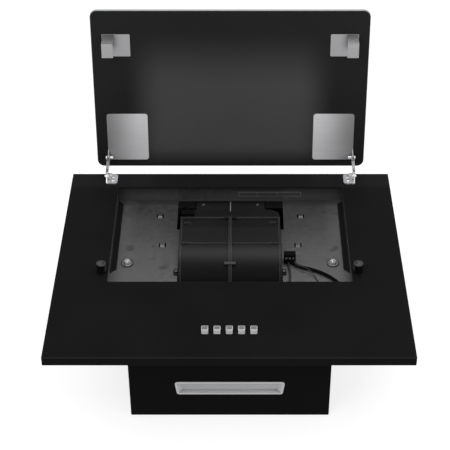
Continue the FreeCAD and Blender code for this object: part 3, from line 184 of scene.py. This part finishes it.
def blend(tree, share, first, second):
    """The first colour where the share is 0 and the second where it is 1"""
    inputs = {"Factor": share, "A": first, "B": second}
    return add_node(tree, "Mix", inputs, data_type="RGBA").outputs["Result"]


def ramp(tree, value, start, end):
    """A smooth step from 0 at start to 1 at end"""
    inputs = {"Value": value, "From Min": start, "From Max": end}
    return add_node(tree, "MapRange", inputs, interpolation_type="SMOOTHSTEP").outputs["Result"]


def new_group(name, inputs, outputs):
    """A node group with its named inputs and outputs, and the sockets at its two ends"""
    group = bpy.data.node_groups.new(name, "ShaderNodeTree")
    for label, kind in inputs.items():
        group.interface.new_socket(label, in_out="INPUT", socket_type=kind)
    for label in outputs:
        group.interface.new_socket(label, in_out="OUTPUT", socket_type=number_socket)
    given = group.nodes.new("NodeGroupInput").outputs
    result = group.nodes.new("NodeGroupOutput").inputs
    return group, given, result


def effect(tree, group, values=None):
    """The outputs of a shared effect, placed in a material with its own values"""
    return add_node(tree, "Group", values, node_tree=group).outputs


def make_noise():
    """Noise from 0 to 1 in the piece's own coordinates, with a scale along each axis"""
    inputs = {"Scale": vector_socket, "Detail": number_socket, "Roughness": number_socket}
    group, given, result = new_group("noise", inputs, ("Value",))
    here = add_node(group, "TexCoord").outputs["Object"]
    stretched = add_node(group, "Mapping", {"Vector": here, "Scale": given["Scale"]}).outputs["Vector"]
    grains = {"Vector": stretched, "Scale": 1.0, "Detail": given["Detail"], "Roughness": given["Roughness"]}
    raw = add_node(group, "TexNoise", grains).outputs["Fac"]
    low, high = noise_ends
    spread = add_node(group, "MapRange", {"Value": raw, "From Min": low, "From Max": high})
    feed(group, result["Value"], spread.outputs["Result"])
    return group


def make_edge_wear():
    """A mask that is 1 along a piece's edges and 0 on its faces, for a painted highlight along the edges"""
    group, given, result = new_group("edge_highlight", {"Reach": number_socket}, ("Mask",))
    rounded = add_node(group, "Bevel", {"Radius": given["Reach"]}).outputs["Normal"]
    face = add_node(group, "NewGeometry").outputs["Normal"]
    turn = add_node(group, "VectorMath", {0: rounded, 1: face}, operation="DOT_PRODUCT").outputs["Value"]
    feed(group, result["Mask"], ramp(group, turn, *edge_turns))
    return group


def make_corner_shade():
    """A mask that is 1 on open faces and falls to 0 in corners and under neighbours"""
    group, given, result = new_group("corner_shade", {"Reach": number_socket}, ("Mask",))
    openness = add_node(group, "AmbientOcclusion", {"Distance": given["Reach"]}, samples=shade_samples)
    feed(group, result["Mask"], ramp(group, openness.outputs["AO"], *shade_ends))
    return group


noise = make_noise()
edge_highlight = make_edge_wear()
corner_shade = make_corner_shade()


def grain(tree, values):
    return effect(tree, noise, values)["Value"]


def worn(tree, colour, edge, reach):
    """The colour, with another along the piece's edges as a painted highlight"""
    return blend(tree, effect(tree, edge_highlight, {"Reach": reach})["Mask"], colour, edge)


def shaded(tree, colour, shade, reach):
    """The colour, with a shade in its corners and under its neighbours"""
    return blend(tree, effect(tree, corner_shade, {"Reach": reach})["Mask"], shade, colour)


def relief(tree, height, depth):
    return add_node(tree, "Bump", {"Height": height, "Distance": depth}).outputs["Normal"]


def finish(tree, shader, colour, roughness, normal, metallic=0.0, specular=0.5):
    """Feeds a shader what makes up a finish"""
    feed(tree, shader.inputs["Base Color"], colour)
    feed(tree, shader.inputs["Roughness"], roughness)
    feed(tree, shader.inputs["Normal"], normal)
    feed(tree, shader.inputs["Metallic"], metallic)
    feed(tree, shader.inputs["Specular IOR Level"], specular)


def finish_of(name, dark, light, gloss, metallic=0.0, specular=0.5, texture=speckle, depth=coarse_relief,
              edge=None, edge_reach=0.0008, shade=None, shade_reach=0.005):
    """A finish whose colour and roughness vary with a fine texture and a wide cloud, with a painted highlight
    along its edges and painted shade in its corners where asked"""
    material, tree, shader = new_material(name)
    fine = grain(tree, texture)
    broad = maths(tree, "MULTIPLY", grain(tree, clouds), 1.0 - fine_share)
    colour = blend(tree, maths(tree, "MULTIPLY_ADD", fine, fine_share, broad), dark, light)
    if edge:
        colour = worn(tree, colour, edge, edge_reach)
    if shade:
        colour = shaded(tree, colour, shade, shade_reach)
    finish(tree, shader, colour, between(tree, fine, *gloss), relief(tree, fine, depth), metallic, specular)
    return material


def dress(material, *nodes):
    """Gives CAD nodes a finish"""
    for node in nodes:
        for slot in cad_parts[node].material_slots:
            slot.material = material


# The coat's paler edges are a painted highlight.
box_paint = finish_of("box_paint", dark=grey(0.0062), light=grey(0.0078), gloss=(0.45, 0.6), specular=0.02,
                      edge=grey(0.013))
dress(box_paint, "housing_shell", "lamp_plate", "outlet_plate", "closing_strip")

# Motor and wheel: a metal motor case, held in the blower's right inlet by a moulded mount with three arms.
# The moulded black wheel turns with the bright steel shaft. The capacitor is a brushed aluminium can that
# stands on the back wall.
brush = {"Scale": (14.0, 2600.0, 2600.0), "Detail": 2.0, "Roughness": 0.7}
# The moulded black is paler along its edges as a painted highlight, and darker in its corners as painted
# shade.
moulded = finish_of("moulded_black", dark=grey(0.006), light=grey(0.012), gloss=(0.32, 0.46), specular=0.2,
                    edge=grey(0.05), edge_reach=0.001, shade=grey(0.002))
motor_case = finish_of("motor_case", dark=grey(0.16), light=grey(0.2), gloss=(0.35, 0.45), metallic=0.6)
bright = finish_of("bright_zinc", dark=grey(0.62), light=grey(0.78), gloss=(0.18, 0.32), metallic=1.0)
can_metal = finish_of("can_metal", dark=grey(0.36), light=grey(0.46), gloss=(0.32, 0.45), metallic=0.9,
                      texture=brush)
dress(moulded, "motor_mount", "impeller")
dress(motor_case, "motor")
dress(bright, "motor_shaft")
dress(can_metal, "capacitor")

# Blower scroll: two moulded halves of black plastic that meet in a double rib, held by dark spring clips and
# by dull screws in their lugs. The top is painted lighter along the crown as a painted highlight and darker
# towards its near side as painted shade, and its specular level falls towards the near side. Its edges have a
# painted highlight and its corners painted shade.
crown_rows = (-0.045, 0.008)
scroll_near_shade = grey(0.0042)
scroll_crown_highlight = (grey(0.009), grey(0.014))
scroll_edge_highlight = grey(0.1)
scroll_edge_reach = 0.0015
scroll_shade = grey(0.001)
scroll_shade_reach = 0.006
scroll_gloss = (0.32, 0.42)
scroll_specular = (0.05, 0.22)


def scroll_material():
    material, tree, shader = new_material("moulded_scroll")
    fine = grain(tree, speckle)
    here = add_node(tree, "TexCoord").outputs["Object"]
    row = add_node(tree, "SeparateXYZ", {"Vector": here}).outputs["Y"]
    crown = ramp(tree, row, *crown_rows)
    # Painted highlight along the crown, painted shade towards the near side
    colour = blend(tree, crown, scroll_near_shade, blend(tree, grain(tree, clouds), *scroll_crown_highlight))
    # Painted highlight along the edges, then painted shade in the corners
    colour = worn(tree, colour, scroll_edge_highlight, scroll_edge_reach)
    colour = shaded(tree, colour, scroll_shade, scroll_shade_reach)
    finish(tree, shader, colour, between(tree, fine, *scroll_gloss), relief(tree, fine, coarse_relief),
           specular=between(tree, crown, *scroll_specular))
    return material


clip_steel = finish_of("clip_steel", dark=grey(0.03), light=grey(0.065), gloss=(0.25, 0.4), metallic=0.9)
dull_zinc = finish_of("dull_zinc", dark=grey(0.08), light=grey(0.14), gloss=(0.4, 0.55), metallic=0.8)
dress(scroll_material(), "volute_left", "volute_right")
dress(clip_steel, "blower_clips")
dress(dull_zinc, "blower_screws")

# Outlet duct: moulded in black plastic, it leads from the scroll's outlet to a neck behind the collar, and is
# held by dull screws. A pale line painted along its mould seam is a painted highlight; its edges have a
# painted highlight and its corners painted shade.
seam_reach = (0.0012, 0.0008)
seam_rows = (0.136, 0.142)
seam_highlight = grey(0.24)
duct_black = (grey(0.006), grey(0.012))
duct_edge_highlight = grey(0.05)
duct_edge_reach = 0.001
duct_shade = grey(0.002)
duct_shade_reach = 0.005
duct_gloss = (0.32, 0.46)
duct_specular = 0.2


def make_place():
    """Where a point lies: its distance from the hood's middle plane, its row and its height"""
    group, _, result = new_group("place", {}, ("Aside", "Row", "Height"))
    here = add_node(group, "TexCoord").outputs["Object"]
    parts = add_node(group, "SeparateXYZ", {"Vector": here}).outputs
    feed(group, result["Aside"], maths(group, "ABSOLUTE", parts["X"]))
    feed(group, result["Row"], parts["Y"])
    feed(group, result["Height"], parts["Z"])
    return group


place = make_place()


def duct_material():
    material, tree, shader = new_material("moulded_duct")
    fine = grain(tree, speckle)
    where = effect(tree, place)
    colour = blend(tree, grain(tree, clouds), *duct_black)
    # Painted highlight along the edges, painted shade in the corners
    colour = worn(tree, colour, duct_edge_highlight, duct_edge_reach)
    colour = shaded(tree, colour, duct_shade, duct_shade_reach)
    # A painted highlight along the mould seam
    seam = ramp(tree, where["Aside"], *seam_reach)
    seam = maths(tree, "MULTIPLY", seam, ramp(tree, where["Row"], *seam_rows))
    colour = blend(tree, seam, colour, seam_highlight)
    finish(tree, shader, colour, between(tree, fine, *duct_gloss), relief(tree, fine, coarse_relief),
           specular=duct_specular)
    return material


dress(duct_material(), "outlet_duct")
dress(dull_zinc, "duct_screws")

# Outlet: a moulded collar screwed to the upper end wall, with two moulded flaps that share one bright steel
# rod. The moulded cable gland sits in the same wall.
dress(moulded, "duct_collar", "flap_left", "flap_right", "cable_gland")
dress(bright, "collar_screws", "flap_rod")

# Tray: a pan of galvanised sheet under the opening, dull and spangled, with a few soft darker spots on its
# floor.
# Painted shade darkens it towards its far end, where the outlet duct and the far wall close in on it, and
# darkens its walls, most towards their top; painted light makes the floor paler along its sides.
swirl = {"Scale": (120.0, 120.0, 120.0), "Detail": 4.0, "Roughness": 0.6}
tray_cloud = (grey(0.112), grey(0.142))
tray_spangle = grey(0.145)
tray_far_rows = (-0.02, 0.12)
tray_far_shade = grey(0.084)
tray_side = (0.168, 0.204)
tray_side_light = grey(0.15)
tray_wall_facing = {"Direction": (0.0, 1.0, 0.0), "Threshold": 0.7}
tray_wall_shade_heights = (0.217, 0.192)
tray_wall_shade = (grey(0.068), grey(0.125))
tray_gloss = (0.38, 0.6)
tray_metallic = 0.85
tray_floor = 0.184
dark_spots = ((-0.1816, 0.0348, 0.012), (-0.1177, -0.0165, 0.014), (0.1899, 0.0348, 0.012))
dark_spot_strength = (0.0, 0.45)
dark_spot_colour = grey(0.02)


def make_facing():
    """Masks of the faces that look along a direction, and of those that look along it either way"""
    inputs = {"Direction": vector_socket, "Threshold": number_socket}
    group, given, result = new_group("facing", inputs, ("One Side", "Both Sides"))
    face = add_node(group, "TexCoord").outputs["Normal"]
    product = add_node(group, "VectorMath", {0: face, 1: given["Direction"]}, operation="DOT_PRODUCT")
    along = product.outputs["Value"]
    either = maths(group, "ABSOLUTE", along)
    feed(group, result["One Side"], maths(group, "GREATER_THAN", along, given["Threshold"]))
    feed(group, result["Both Sides"], maths(group, "GREATER_THAN", either, given["Threshold"]))
    return group


facing = make_facing()


def smudge(tree, x, y, reach):
    """A mask that is strongest at a place on the tray's floor and fades out at a reach from it"""
    here = add_node(tree, "TexCoord").outputs["Object"]
    ends = {0: here, 1: (x, y, tray_floor)}
    gap = add_node(tree, "VectorMath", ends, operation="DISTANCE").outputs["Value"]
    return between(tree, ramp(tree, gap, reach, 0.0), *dark_spot_strength)


def tray_material():
    material, tree, shader = new_material("galvanised")
    fine = grain(tree, swirl)
    where = effect(tree, place)
    zinc = blend(tree, fine, blend(tree, grain(tree, clouds), *tray_cloud), tray_spangle)
    # Painted shade towards the far end, painted light along the sides
    floor = blend(tree, ramp(tree, where["Row"], *tray_far_rows), zinc, tray_far_shade)
    floor = blend(tree, ramp(tree, where["Aside"], *tray_side), floor, tray_side_light)
    # The walls get painted shade, darker towards their top
    wall = blend(tree, ramp(tree, where["Height"], *tray_wall_shade_heights), *tray_wall_shade)
    colour = blend(tree, effect(tree, facing, tray_wall_facing)["Both Sides"], floor, wall)
    # A few soft darker spots on the floor
    for place_and_reach in dark_spots:
        colour = blend(tree, smudge(tree, *place_and_reach), colour, dark_spot_colour)
    finish(tree, shader, colour, between(tree, fine, *tray_gloss), relief(tree, fine, coarse_relief),
           metallic=tray_metallic)
    return material


dress(tray_material(), "tray")

# Studs of the tray: each has a dull washer, darkened round its rim by painted shade, and a bright zinc plated
# nut. They hold the tray to the flanges of the housing.
stud_low, stud_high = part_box("tray_fasteners")
washer_radius = 0.011
stud_place = (stud_high[0] - washer_radius, (stud_low[1] + stud_high[1]) / 2, 0.0)
washer_rim_shade_ring = {"Middle": stud_place, "Start": 0.0094, "End": 0.0101}
washer_top = (0.1855, 0.1857)
washer_zinc = (grey(0.2), grey(0.3))
washer_rim_shade = grey(0.02)
nut_zinc = (grey(0.6), grey(0.75))
fine_relief = 0.00001
stud_gloss = (0.25, 0.4)
stud_metallic = 0.9


def make_ring():
    """A mask over the distance from a place, seen from above and alike on both sides of the hood"""
    inputs = {"Middle": vector_socket, "Start": number_socket, "End": number_socket}
    group, given, result = new_group("ring", inputs, ("Mask",))
    here = add_node(group, "TexCoord").outputs["Object"]
    parts = add_node(group, "SeparateXYZ", {"Vector": here}).outputs
    flat = add_node(group, "CombineXYZ", {"X": maths(group, "ABSOLUTE", parts["X"]), "Y": parts["Y"]})
    ends = {0: flat.outputs["Vector"], 1: given["Middle"]}
    gap = add_node(group, "VectorMath", ends, operation="DISTANCE").outputs["Value"]
    feed(group, result["Mask"], ramp(group, gap, given["Start"], given["End"]))
    return group


ring = make_ring()


def stud_material():
    material, tree, shader = new_material("tray_studs")
    fine = grain(tree, speckle)
    # Painted shade round the washer's rim
    rim_shade = effect(tree, ring, washer_rim_shade_ring)["Mask"]
    washer = blend(tree, rim_shade, blend(tree, fine, *washer_zinc), washer_rim_shade)
    above = ramp(tree, effect(tree, place)["Height"], *washer_top)
    colour = blend(tree, above, washer, blend(tree, fine, *nut_zinc))
    finish(tree, shader, colour, between(tree, fine, *stud_gloss), relief(tree, fine, fine_relief),
           metallic=stud_metallic)
    return material


dress(stud_material(), "tray_fasteners")

# Terminal block and wire connector: moulded black plastic, seated on the tray and on the duct, with a painted
# highlight along their edges. Three slotted clamp screws of bright zinc sit on the block's step; each slot is
# a gloss black bar on the screw's top, painted shade for the recess.
block_low, block_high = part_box("terminal_block")
clamp_count = 3
clamp_pitch = 0.006
clamp_from_side = 0.003
clamp_from_top = 0.006
clamp_radius = 0.0021
clamp_rise = 0.0009
slot_half_length = 0.00168
slot_half_width = 0.0003
slot_half_rise = 0.0001
edge_share = 0.25
edge_segments = 2
disc_steps = 32


def seat(name, build, material, body):
    """Turns a mesh that has been built into a piece that rides on a body"""
    mesh = bpy.data.meshes.new(name)
    build.to_mesh(mesh)
    build.free()
    mesh.materials.append(material)
    piece = add_object(name, mesh)
    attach(piece, body)


def bar(name, low, high, material, body):
    """A block between two corners, with softened edges"""
    build = bmesh.new()
    bmesh.ops.create_cube(build, size=1.0)
    size = [b - a for a, b in zip(low, high)]
    middle = [(a + b) / 2 for a, b in zip(low, high)]
    bmesh.ops.scale(build, vec=size, verts=build.verts)
    bmesh.ops.translate(build, vec=middle, verts=build.verts)
    bmesh.ops.bevel(build, geom=build.edges[:], offset=min(size) * edge_share, segments=edge_segments,
                    affect="EDGES")
    seat(name, build, material, body)


def disc(name, middle, radius, rise, material, body, hole=0.0):
    """A disc that lies flat, or a ring where it has a hole"""
    x, y, z = middle
    turns = [math.tau * step / disc_steps for step in range(disc_steps)]
    build = bmesh.new()
    rows = []
    for reach, height in ((radius, 0.0), (radius, rise), (hole, rise), (hole, 0.0)):
        if reach:
            points = [(x + reach * math.cos(turn), y + reach * math.sin(turn), z + height) for turn in turns]
            rows.append([build.verts.new(point) for point in points])
    if hole:
        rows.append(rows[0])
    for first, second in zip(rows, rows[1:]):
        for step in range(disc_steps):
            after = (step + 1) % disc_steps
            build.faces.new((first[step], first[after], second[after], second[step]))
    if not hole:
        build.faces.new(rows[1])
        build.faces.new(rows[0][::-1])
    bmesh.ops.recalc_face_normals(build, faces=build.faces[:])
    seat(name, build, material, body)


block_black = finish_of("block_black", dark=grey(0.002), light=grey(0.004), gloss=(0.4, 0.5), specular=0.06,
                        edge=grey(0.02), edge_reach=0.0006)
gloss_black = finish_of("gloss_black", dark=grey(0.004), light=grey(0.006), gloss=(0.12, 0.2))


def make_clamp_screws():
    middle = (block_low[0] + block_high[0]) / 2
    row = block_low[1] + clamp_from_side
    base = block_high[2] - clamp_from_top
    top = base + clamp_rise
    for number in range(1, clamp_count + 1):
        x = middle + (number - (clamp_count + 1) / 2) * clamp_pitch
        disc("clamp_screw_" + str(number), (x, row, base), clamp_radius, clamp_rise, bright, "hood")
        low = (x - slot_half_length, row - slot_half_width, top - slot_half_rise)
        high = (x + slot_half_length, row + slot_half_width, top + slot_half_rise)
        # A gloss black bar across the screw's top: painted shade for its slot
        bar("clamp_slot_" + str(number), low, high, gloss_black, "hood")


dress(block_black, "terminal_block", "wire_connector")
make_clamp_screws()

# Leads: soft sheaths, black on the motor's and the capacitor's lead and grey on those of the lamp and of the
# earth. They run from the two blocks to the switch, the capacitor, the lamp's driver and the tray.
black_sheath = finish_of("black_sheath", dark=grey(0.002), light=grey(0.003), gloss=(0.5, 0.6), specular=0.04)
grey_sheath = finish_of("grey_sheath", dark=grey(0.02), light=grey(0.035), gloss=(0.35, 0.45), specular=0.2)
dress(black_sheath, "motor_lead", "capacitor_lead")
dress(grey_sheath, "lamp_lead", "earth_lead")

# Rating plate: thin aluminium sheet bonded to the tray's far wall, left blank. A pale frame runs round three
# darker fields, which stand a little proud of it.
rating_x = (0.015, 0.133)
rating_z = (0.1965, 0.2068)
rating_y = 0.1762
rating_sheet = 0.0003
rating_rim = 0.0011
rating_gap = rating_rim / 3
field_rise = rating_sheet / 3
field_shares = (0.0, 0.3, 0.62, 1.0)


def make_rating_plate():
    pale = finish_of("rating_rim", dark=grey(0.22), light=grey(0.28), gloss=(0.35, 0.5), metallic=0.5)
    field = finish_of("rating_field", dark=grey(0.06), light=grey(0.08), gloss=(0.4, 0.55), metallic=0.5)
    near = rating_y - rating_sheet
    bar("rating_plate", (rating_x[0], near, rating_z[0]), (rating_x[1], rating_y, rating_z[1]), pale, "hood")
    stops = [rating_x[0] + (rating_x[1] - rating_x[0]) * share for share in field_shares]
    for number, (start, end) in enumerate(zip(stops, stops[1:]), 1):
        start += rating_rim if number == 1 else rating_gap
        end -= rating_rim if number == len(stops) - 1 else rating_gap
        bar("rating_field_" + str(number), (start, near - field_rise, rating_z[0] + rating_rim),
            (end, near, rating_z[1] - rating_rim), field, "hood")


make_rating_plate()

# Front plate: a folded steel pan in black powder coat, painted paler beyond the opening as painted light,
# with a painted highlight on the sloping fold and along its edges. Two angle strips in the same coat, with a
# painted highlight along their edges, stand on the tray along the sides of the opening.
plate_black = (grey(0.0072), grey(0.0094))
plate_far_rows = (0.166, 0.178)
plate_far_light = (grey(0.0122), grey(0.0146))
fold_facing = {"Direction": (0.0, -0.707, 0.707), "Threshold": 0.8}
fold_highlight = grey(0.019)
plate_edge_highlight = grey(0.034)
plate_edge_reach = 0.0009
plate_gloss = (0.42, 0.55)
plate_specular = 0.02


def plate_material():
    material, tree, shader = new_material("black_plate")
    fine = grain(tree, speckle)
    cloud = grain(tree, clouds)
    beyond = ramp(tree, effect(tree, place)["Row"], *plate_far_rows)
    # Painted light beyond the opening, then a painted highlight on the sloping fold and along the edges
    colour = blend(tree, beyond, blend(tree, cloud, *plate_black), blend(tree, cloud, *plate_far_light))
    colour = blend(tree, effect(tree, facing, fold_facing)["One Side"], colour, fold_highlight)
    colour = worn(tree, colour, plate_edge_highlight, plate_edge_reach)
    finish(tree, shader, colour, between(tree, fine, *plate_gloss), relief(tree, fine, coarse_relief),
           specular=plate_specular)
    return material


# The strips' paler edges are a painted highlight
rail_paint = finish_of("rail_paint", dark=grey(0.011), light=grey(0.014), gloss=plate_gloss, specular=0.03,
                       edge=grey(0.06), edge_reach=0.001)
dress(plate_material(), "front_plate")
dress(rail_paint, "side_rail_left", "side_rail_right")

# Push buttons: rounded squares of aluminium, with satin sides painted pale as a painted highlight and a
# darker, finely ground top. Their stems slide in the moulded body of the switch behind the plate.
button_count = 5
button_side_satin_and_highlight = (grey(0.9), grey(0.98))
button_top = (grey(0.19), grey(0.25))
button_top_facing = {"Direction": (0.0, 0.0, 1.0), "Threshold": 0.9}
button_gloss = (0.28, 0.4)


def button_material():
    material, tree, shader = new_material("button_metal")
    fine = grain(tree, speckle)
    top = effect(tree, facing, button_top_facing)["Both Sides"]
    # Satin sides painted pale as a painted highlight, and a darker ground top
    colour = blend(tree, top, blend(tree, fine, *button_side_satin_and_highlight), blend(tree, fine, *button_top))
    finish(tree, shader, colour, between(tree, fine, *button_gloss), relief(tree, fine, fine_relief))
    return material


dress(button_material(), *["button_" + str(number) for number in range(1, button_count + 1)])
dress(moulded, "switch_body")

# Marks on the buttons: printed in dark ink in the hollow of each top, as a bar on the second button and as a
# ring on each of the others.
barred_button = 2
button_hollow = 0.0004
mark_sunk = 0.00005
mark_rise = 0.0001
mark_radius = 0.0027
mark_line = 0.0007


def make_button_marks():
    ink = finish_of("button_ink", dark=grey(0.05), light=grey(0.07), gloss=(0.4, 0.5))
    for number in range(1, button_count + 1):
        name, body = "mark_" + str(number), "button_" + str(number)
        low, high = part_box(body)
        x, y = (low[0] + high[0]) / 2, (low[1] + high[1]) / 2
        z = high[2] - button_hollow - mark_sunk
        if number == barred_button:
            bar(name, (x - mark_radius, y - mark_line, z), (x + mark_radius, y + mark_line, z + mark_rise),
                ink, body)
        else:
            disc(name, (x, y, z), mark_radius, mark_rise, ink, body,
                 hole=mark_radius - mark_line)


make_button_marks()

# Strip lamp: a satin aluminium frame in the lower end wall, with a lacquered well round a frosted diffuser,
# painted paler as painted light and darkened deep inside by painted shade. The diffuser has painted shade
# along its edges. A white board lies behind the diffuser, and the moulded driver is further in.
frame_front = {"Direction": (0.0, 1.0, 0.0), "Threshold": 0.95}
frame_satin = (grey(0.42), grey(0.52))
well_painted_light = (grey(0.72), grey(0.8))
well_shade = grey(0.16)
well_shade_reach = 0.014
frame_metallic = (0.15, 0.9)
frame_gloss = (0.32, 0.45)


def lamp_frame_material():
    material, tree, shader = new_material("lamp_frame")
    fine = grain(tree, brush)
    front = effect(tree, facing, frame_front)["Both Sides"]
    # The well is painted paler as painted light, with painted shade deep inside it
    well = shaded(tree, blend(tree, fine, *well_painted_light), well_shade, well_shade_reach)
    colour = blend(tree, front, well, blend(tree, fine, *frame_satin))
    finish(tree, shader, colour, between(tree, fine, *frame_gloss), relief(tree, fine, fine_relief),
           metallic=between(tree, front, *frame_metallic))
    return material


# Painted shade along the diffuser's edges
diffuser = finish_of("frosted_diffuser", dark=grey(0.66), light=grey(0.74), gloss=(0.45, 0.6), specular=0.3,
                     depth=fine_relief, shade=grey(0.2), shade_reach=0.004)
board = finish_of("white_board", dark=grey(0.7), light=grey(0.8), gloss=(0.3, 0.4))
dress(lamp_frame_material(), "lamp_frame")
dress(diffuser, "lamp_diffuser")
dress(board, "led_board")
dress(moulded, "led_driver")

# Catch posts: polished black sleeves screwed to the plate beside the opening. A ground ferrite magnet is set
# in the top of each, with painted shade in a hollow towards the middle of the hood.
magnet_low, magnet_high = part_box("catch_magnets")
dish_from_side = 0.0095
dish_off_middle = 0.0005
dish_place = (magnet_high[0] - dish_from_side, (magnet_low[1] + magnet_high[1]) / 2 + dish_off_middle, 0.0)
dish = {"Middle": dish_place, "Start": 0.0044, "End": 0.0022}
dish_shade = grey(0.004)
ferrite = (grey(0.045), grey(0.075))
ferrite_gloss = (0.3, 0.42)
ferrite_specular = 0.3


def magnet_material():
    material, tree, shader = new_material("ferrite")
    fine = grain(tree, speckle)
    hollow = effect(tree, ring, dish)["Mask"]
    # Painted shade in the hollow
    colour = blend(tree, hollow, blend(tree, fine, *ferrite), dish_shade)
    finish(tree, shader, colour, between(tree, fine, *ferrite_gloss), relief(tree, fine, fine_relief),
           specular=ferrite_specular)
    return material


dress(gloss_black, "catch_post_left", "catch_post_right")
dress(magnet_material(), "catch_magnets")
dress(bright, "post_screws")

# Hinges: pale zinc feet screwed to the plate, zinc plated forked arms, and bright pins through both ends of
# each arm. The bracket plates bonded to the panel are brushed, with a painted highlight that makes them
# brightest along their inner edge.
bracket_aside = (0.238, 0.158)
bracket_dark = (grey(0.27), grey(0.34))
bracket_highlight = (grey(0.88), grey(0.98))
bracket_gloss = (0.35, 0.5)
bracket_metallic = 0.6


def bracket_material():
    material, tree, shader = new_material("bracket_plate")
    fine = grain(tree, brush)
    inner = ramp(tree, effect(tree, place)["Aside"], *bracket_aside)
    # A painted highlight towards the inner edge
    colour = blend(tree, inner, blend(tree, fine, *bracket_dark), blend(tree, fine, *bracket_highlight))
    finish(tree, shader, colour, between(tree, fine, *bracket_gloss), relief(tree, fine, coarse_relief),
           metallic=bracket_metallic)
    return material


feet = finish_of("pale_zinc", dark=grey(0.66), light=grey(0.86), gloss=(0.34, 0.46), metallic=0.9,
                 texture=swirl)
plated = finish_of("zinc_plated", dark=grey(0.48), light=grey(0.6), gloss=(0.3, 0.42), metallic=1.0)
dress(feet, "hinge_foot_left", "hinge_foot_right")
dress(plated, "hinge_arm_left", "hinge_arm_right")
dress(bright, "hinge_screws", "lower_pin_left", "lower_pin_right", "upper_pin_left", "upper_pin_right")
dress(bracket_material(), "panel_bracket_left", "panel_bracket_right")

# Service panel: toughened glass, enamelled black, with a pale cut edge. Its inner face has a painted
# reflection, paler over the middle, and its outer face is polished. Two keepers of brushed, zinc plated steel
# sit on it and land on the catch posts.
panel_lean_degrees = 81.0
face_threshold = 0.9
reflection_aside = (0.2, 0.125)
reflection_low = (0.21, 0.264)
reflection_high = (0.495, 0.365)
glass_black = (grey(0.0115), grey(0.0135))
glass_reflection = (grey(0.07), grey(0.077))
glass_cut_edge = (0.42, 0.44, 0.43, 1.0)
glass_gloss = (0.32, 0.44)
glass_polish = (1.0, 0.2)
glass_specular = (0.12, 0.5)


def panel_material():
    material, tree, shader = new_material("black_glass")
    lean = math.radians(panel_lean_degrees)
    inward = Vector((0.0, -math.sin(lean), math.cos(lean)))
    faces = effect(tree, facing, {"Direction": inward, "Threshold": face_threshold})
    face = add_node(tree, "TexCoord").outputs["Normal"]
    outward = add_node(tree, "VectorMath", {0: face, 1: -inward}, operation="DOT_PRODUCT").outputs["Value"]
    outer = maths(tree, "GREATER_THAN", outward, face_threshold)
    where = effect(tree, place)
    reflection = faces["One Side"]
    # A painted reflection over the middle of the inner face
    for part, ends in (("Aside", reflection_aside), ("Height", reflection_high), ("Height", reflection_low)):
        reflection = maths(tree, "MULTIPLY", reflection, ramp(tree, where[part], *ends))
    cloud = grain(tree, clouds)
    glass = blend(tree, reflection, blend(tree, cloud, *glass_black), blend(tree, cloud, *glass_reflection))
    colour = blend(tree, faces["Both Sides"], glass_cut_edge, glass)
    fine = grain(tree, speckle)
    dull = between(tree, fine, *glass_gloss)
    roughness = maths(tree, "MULTIPLY", dull, between(tree, outer, *glass_polish))
    finish(tree, shader, colour, roughness, relief(tree, fine, fine_relief),
           specular=between(tree, outer, *glass_specular))
    return material


brushed = finish_of("brushed_plate", dark=grey(0.32), light=grey(0.42), gloss=(0.3, 0.5), metallic=1.0,
                    texture=brush)
dress(panel_material(), "service_panel")
dress(brushed, "keeper_left", "keeper_right")
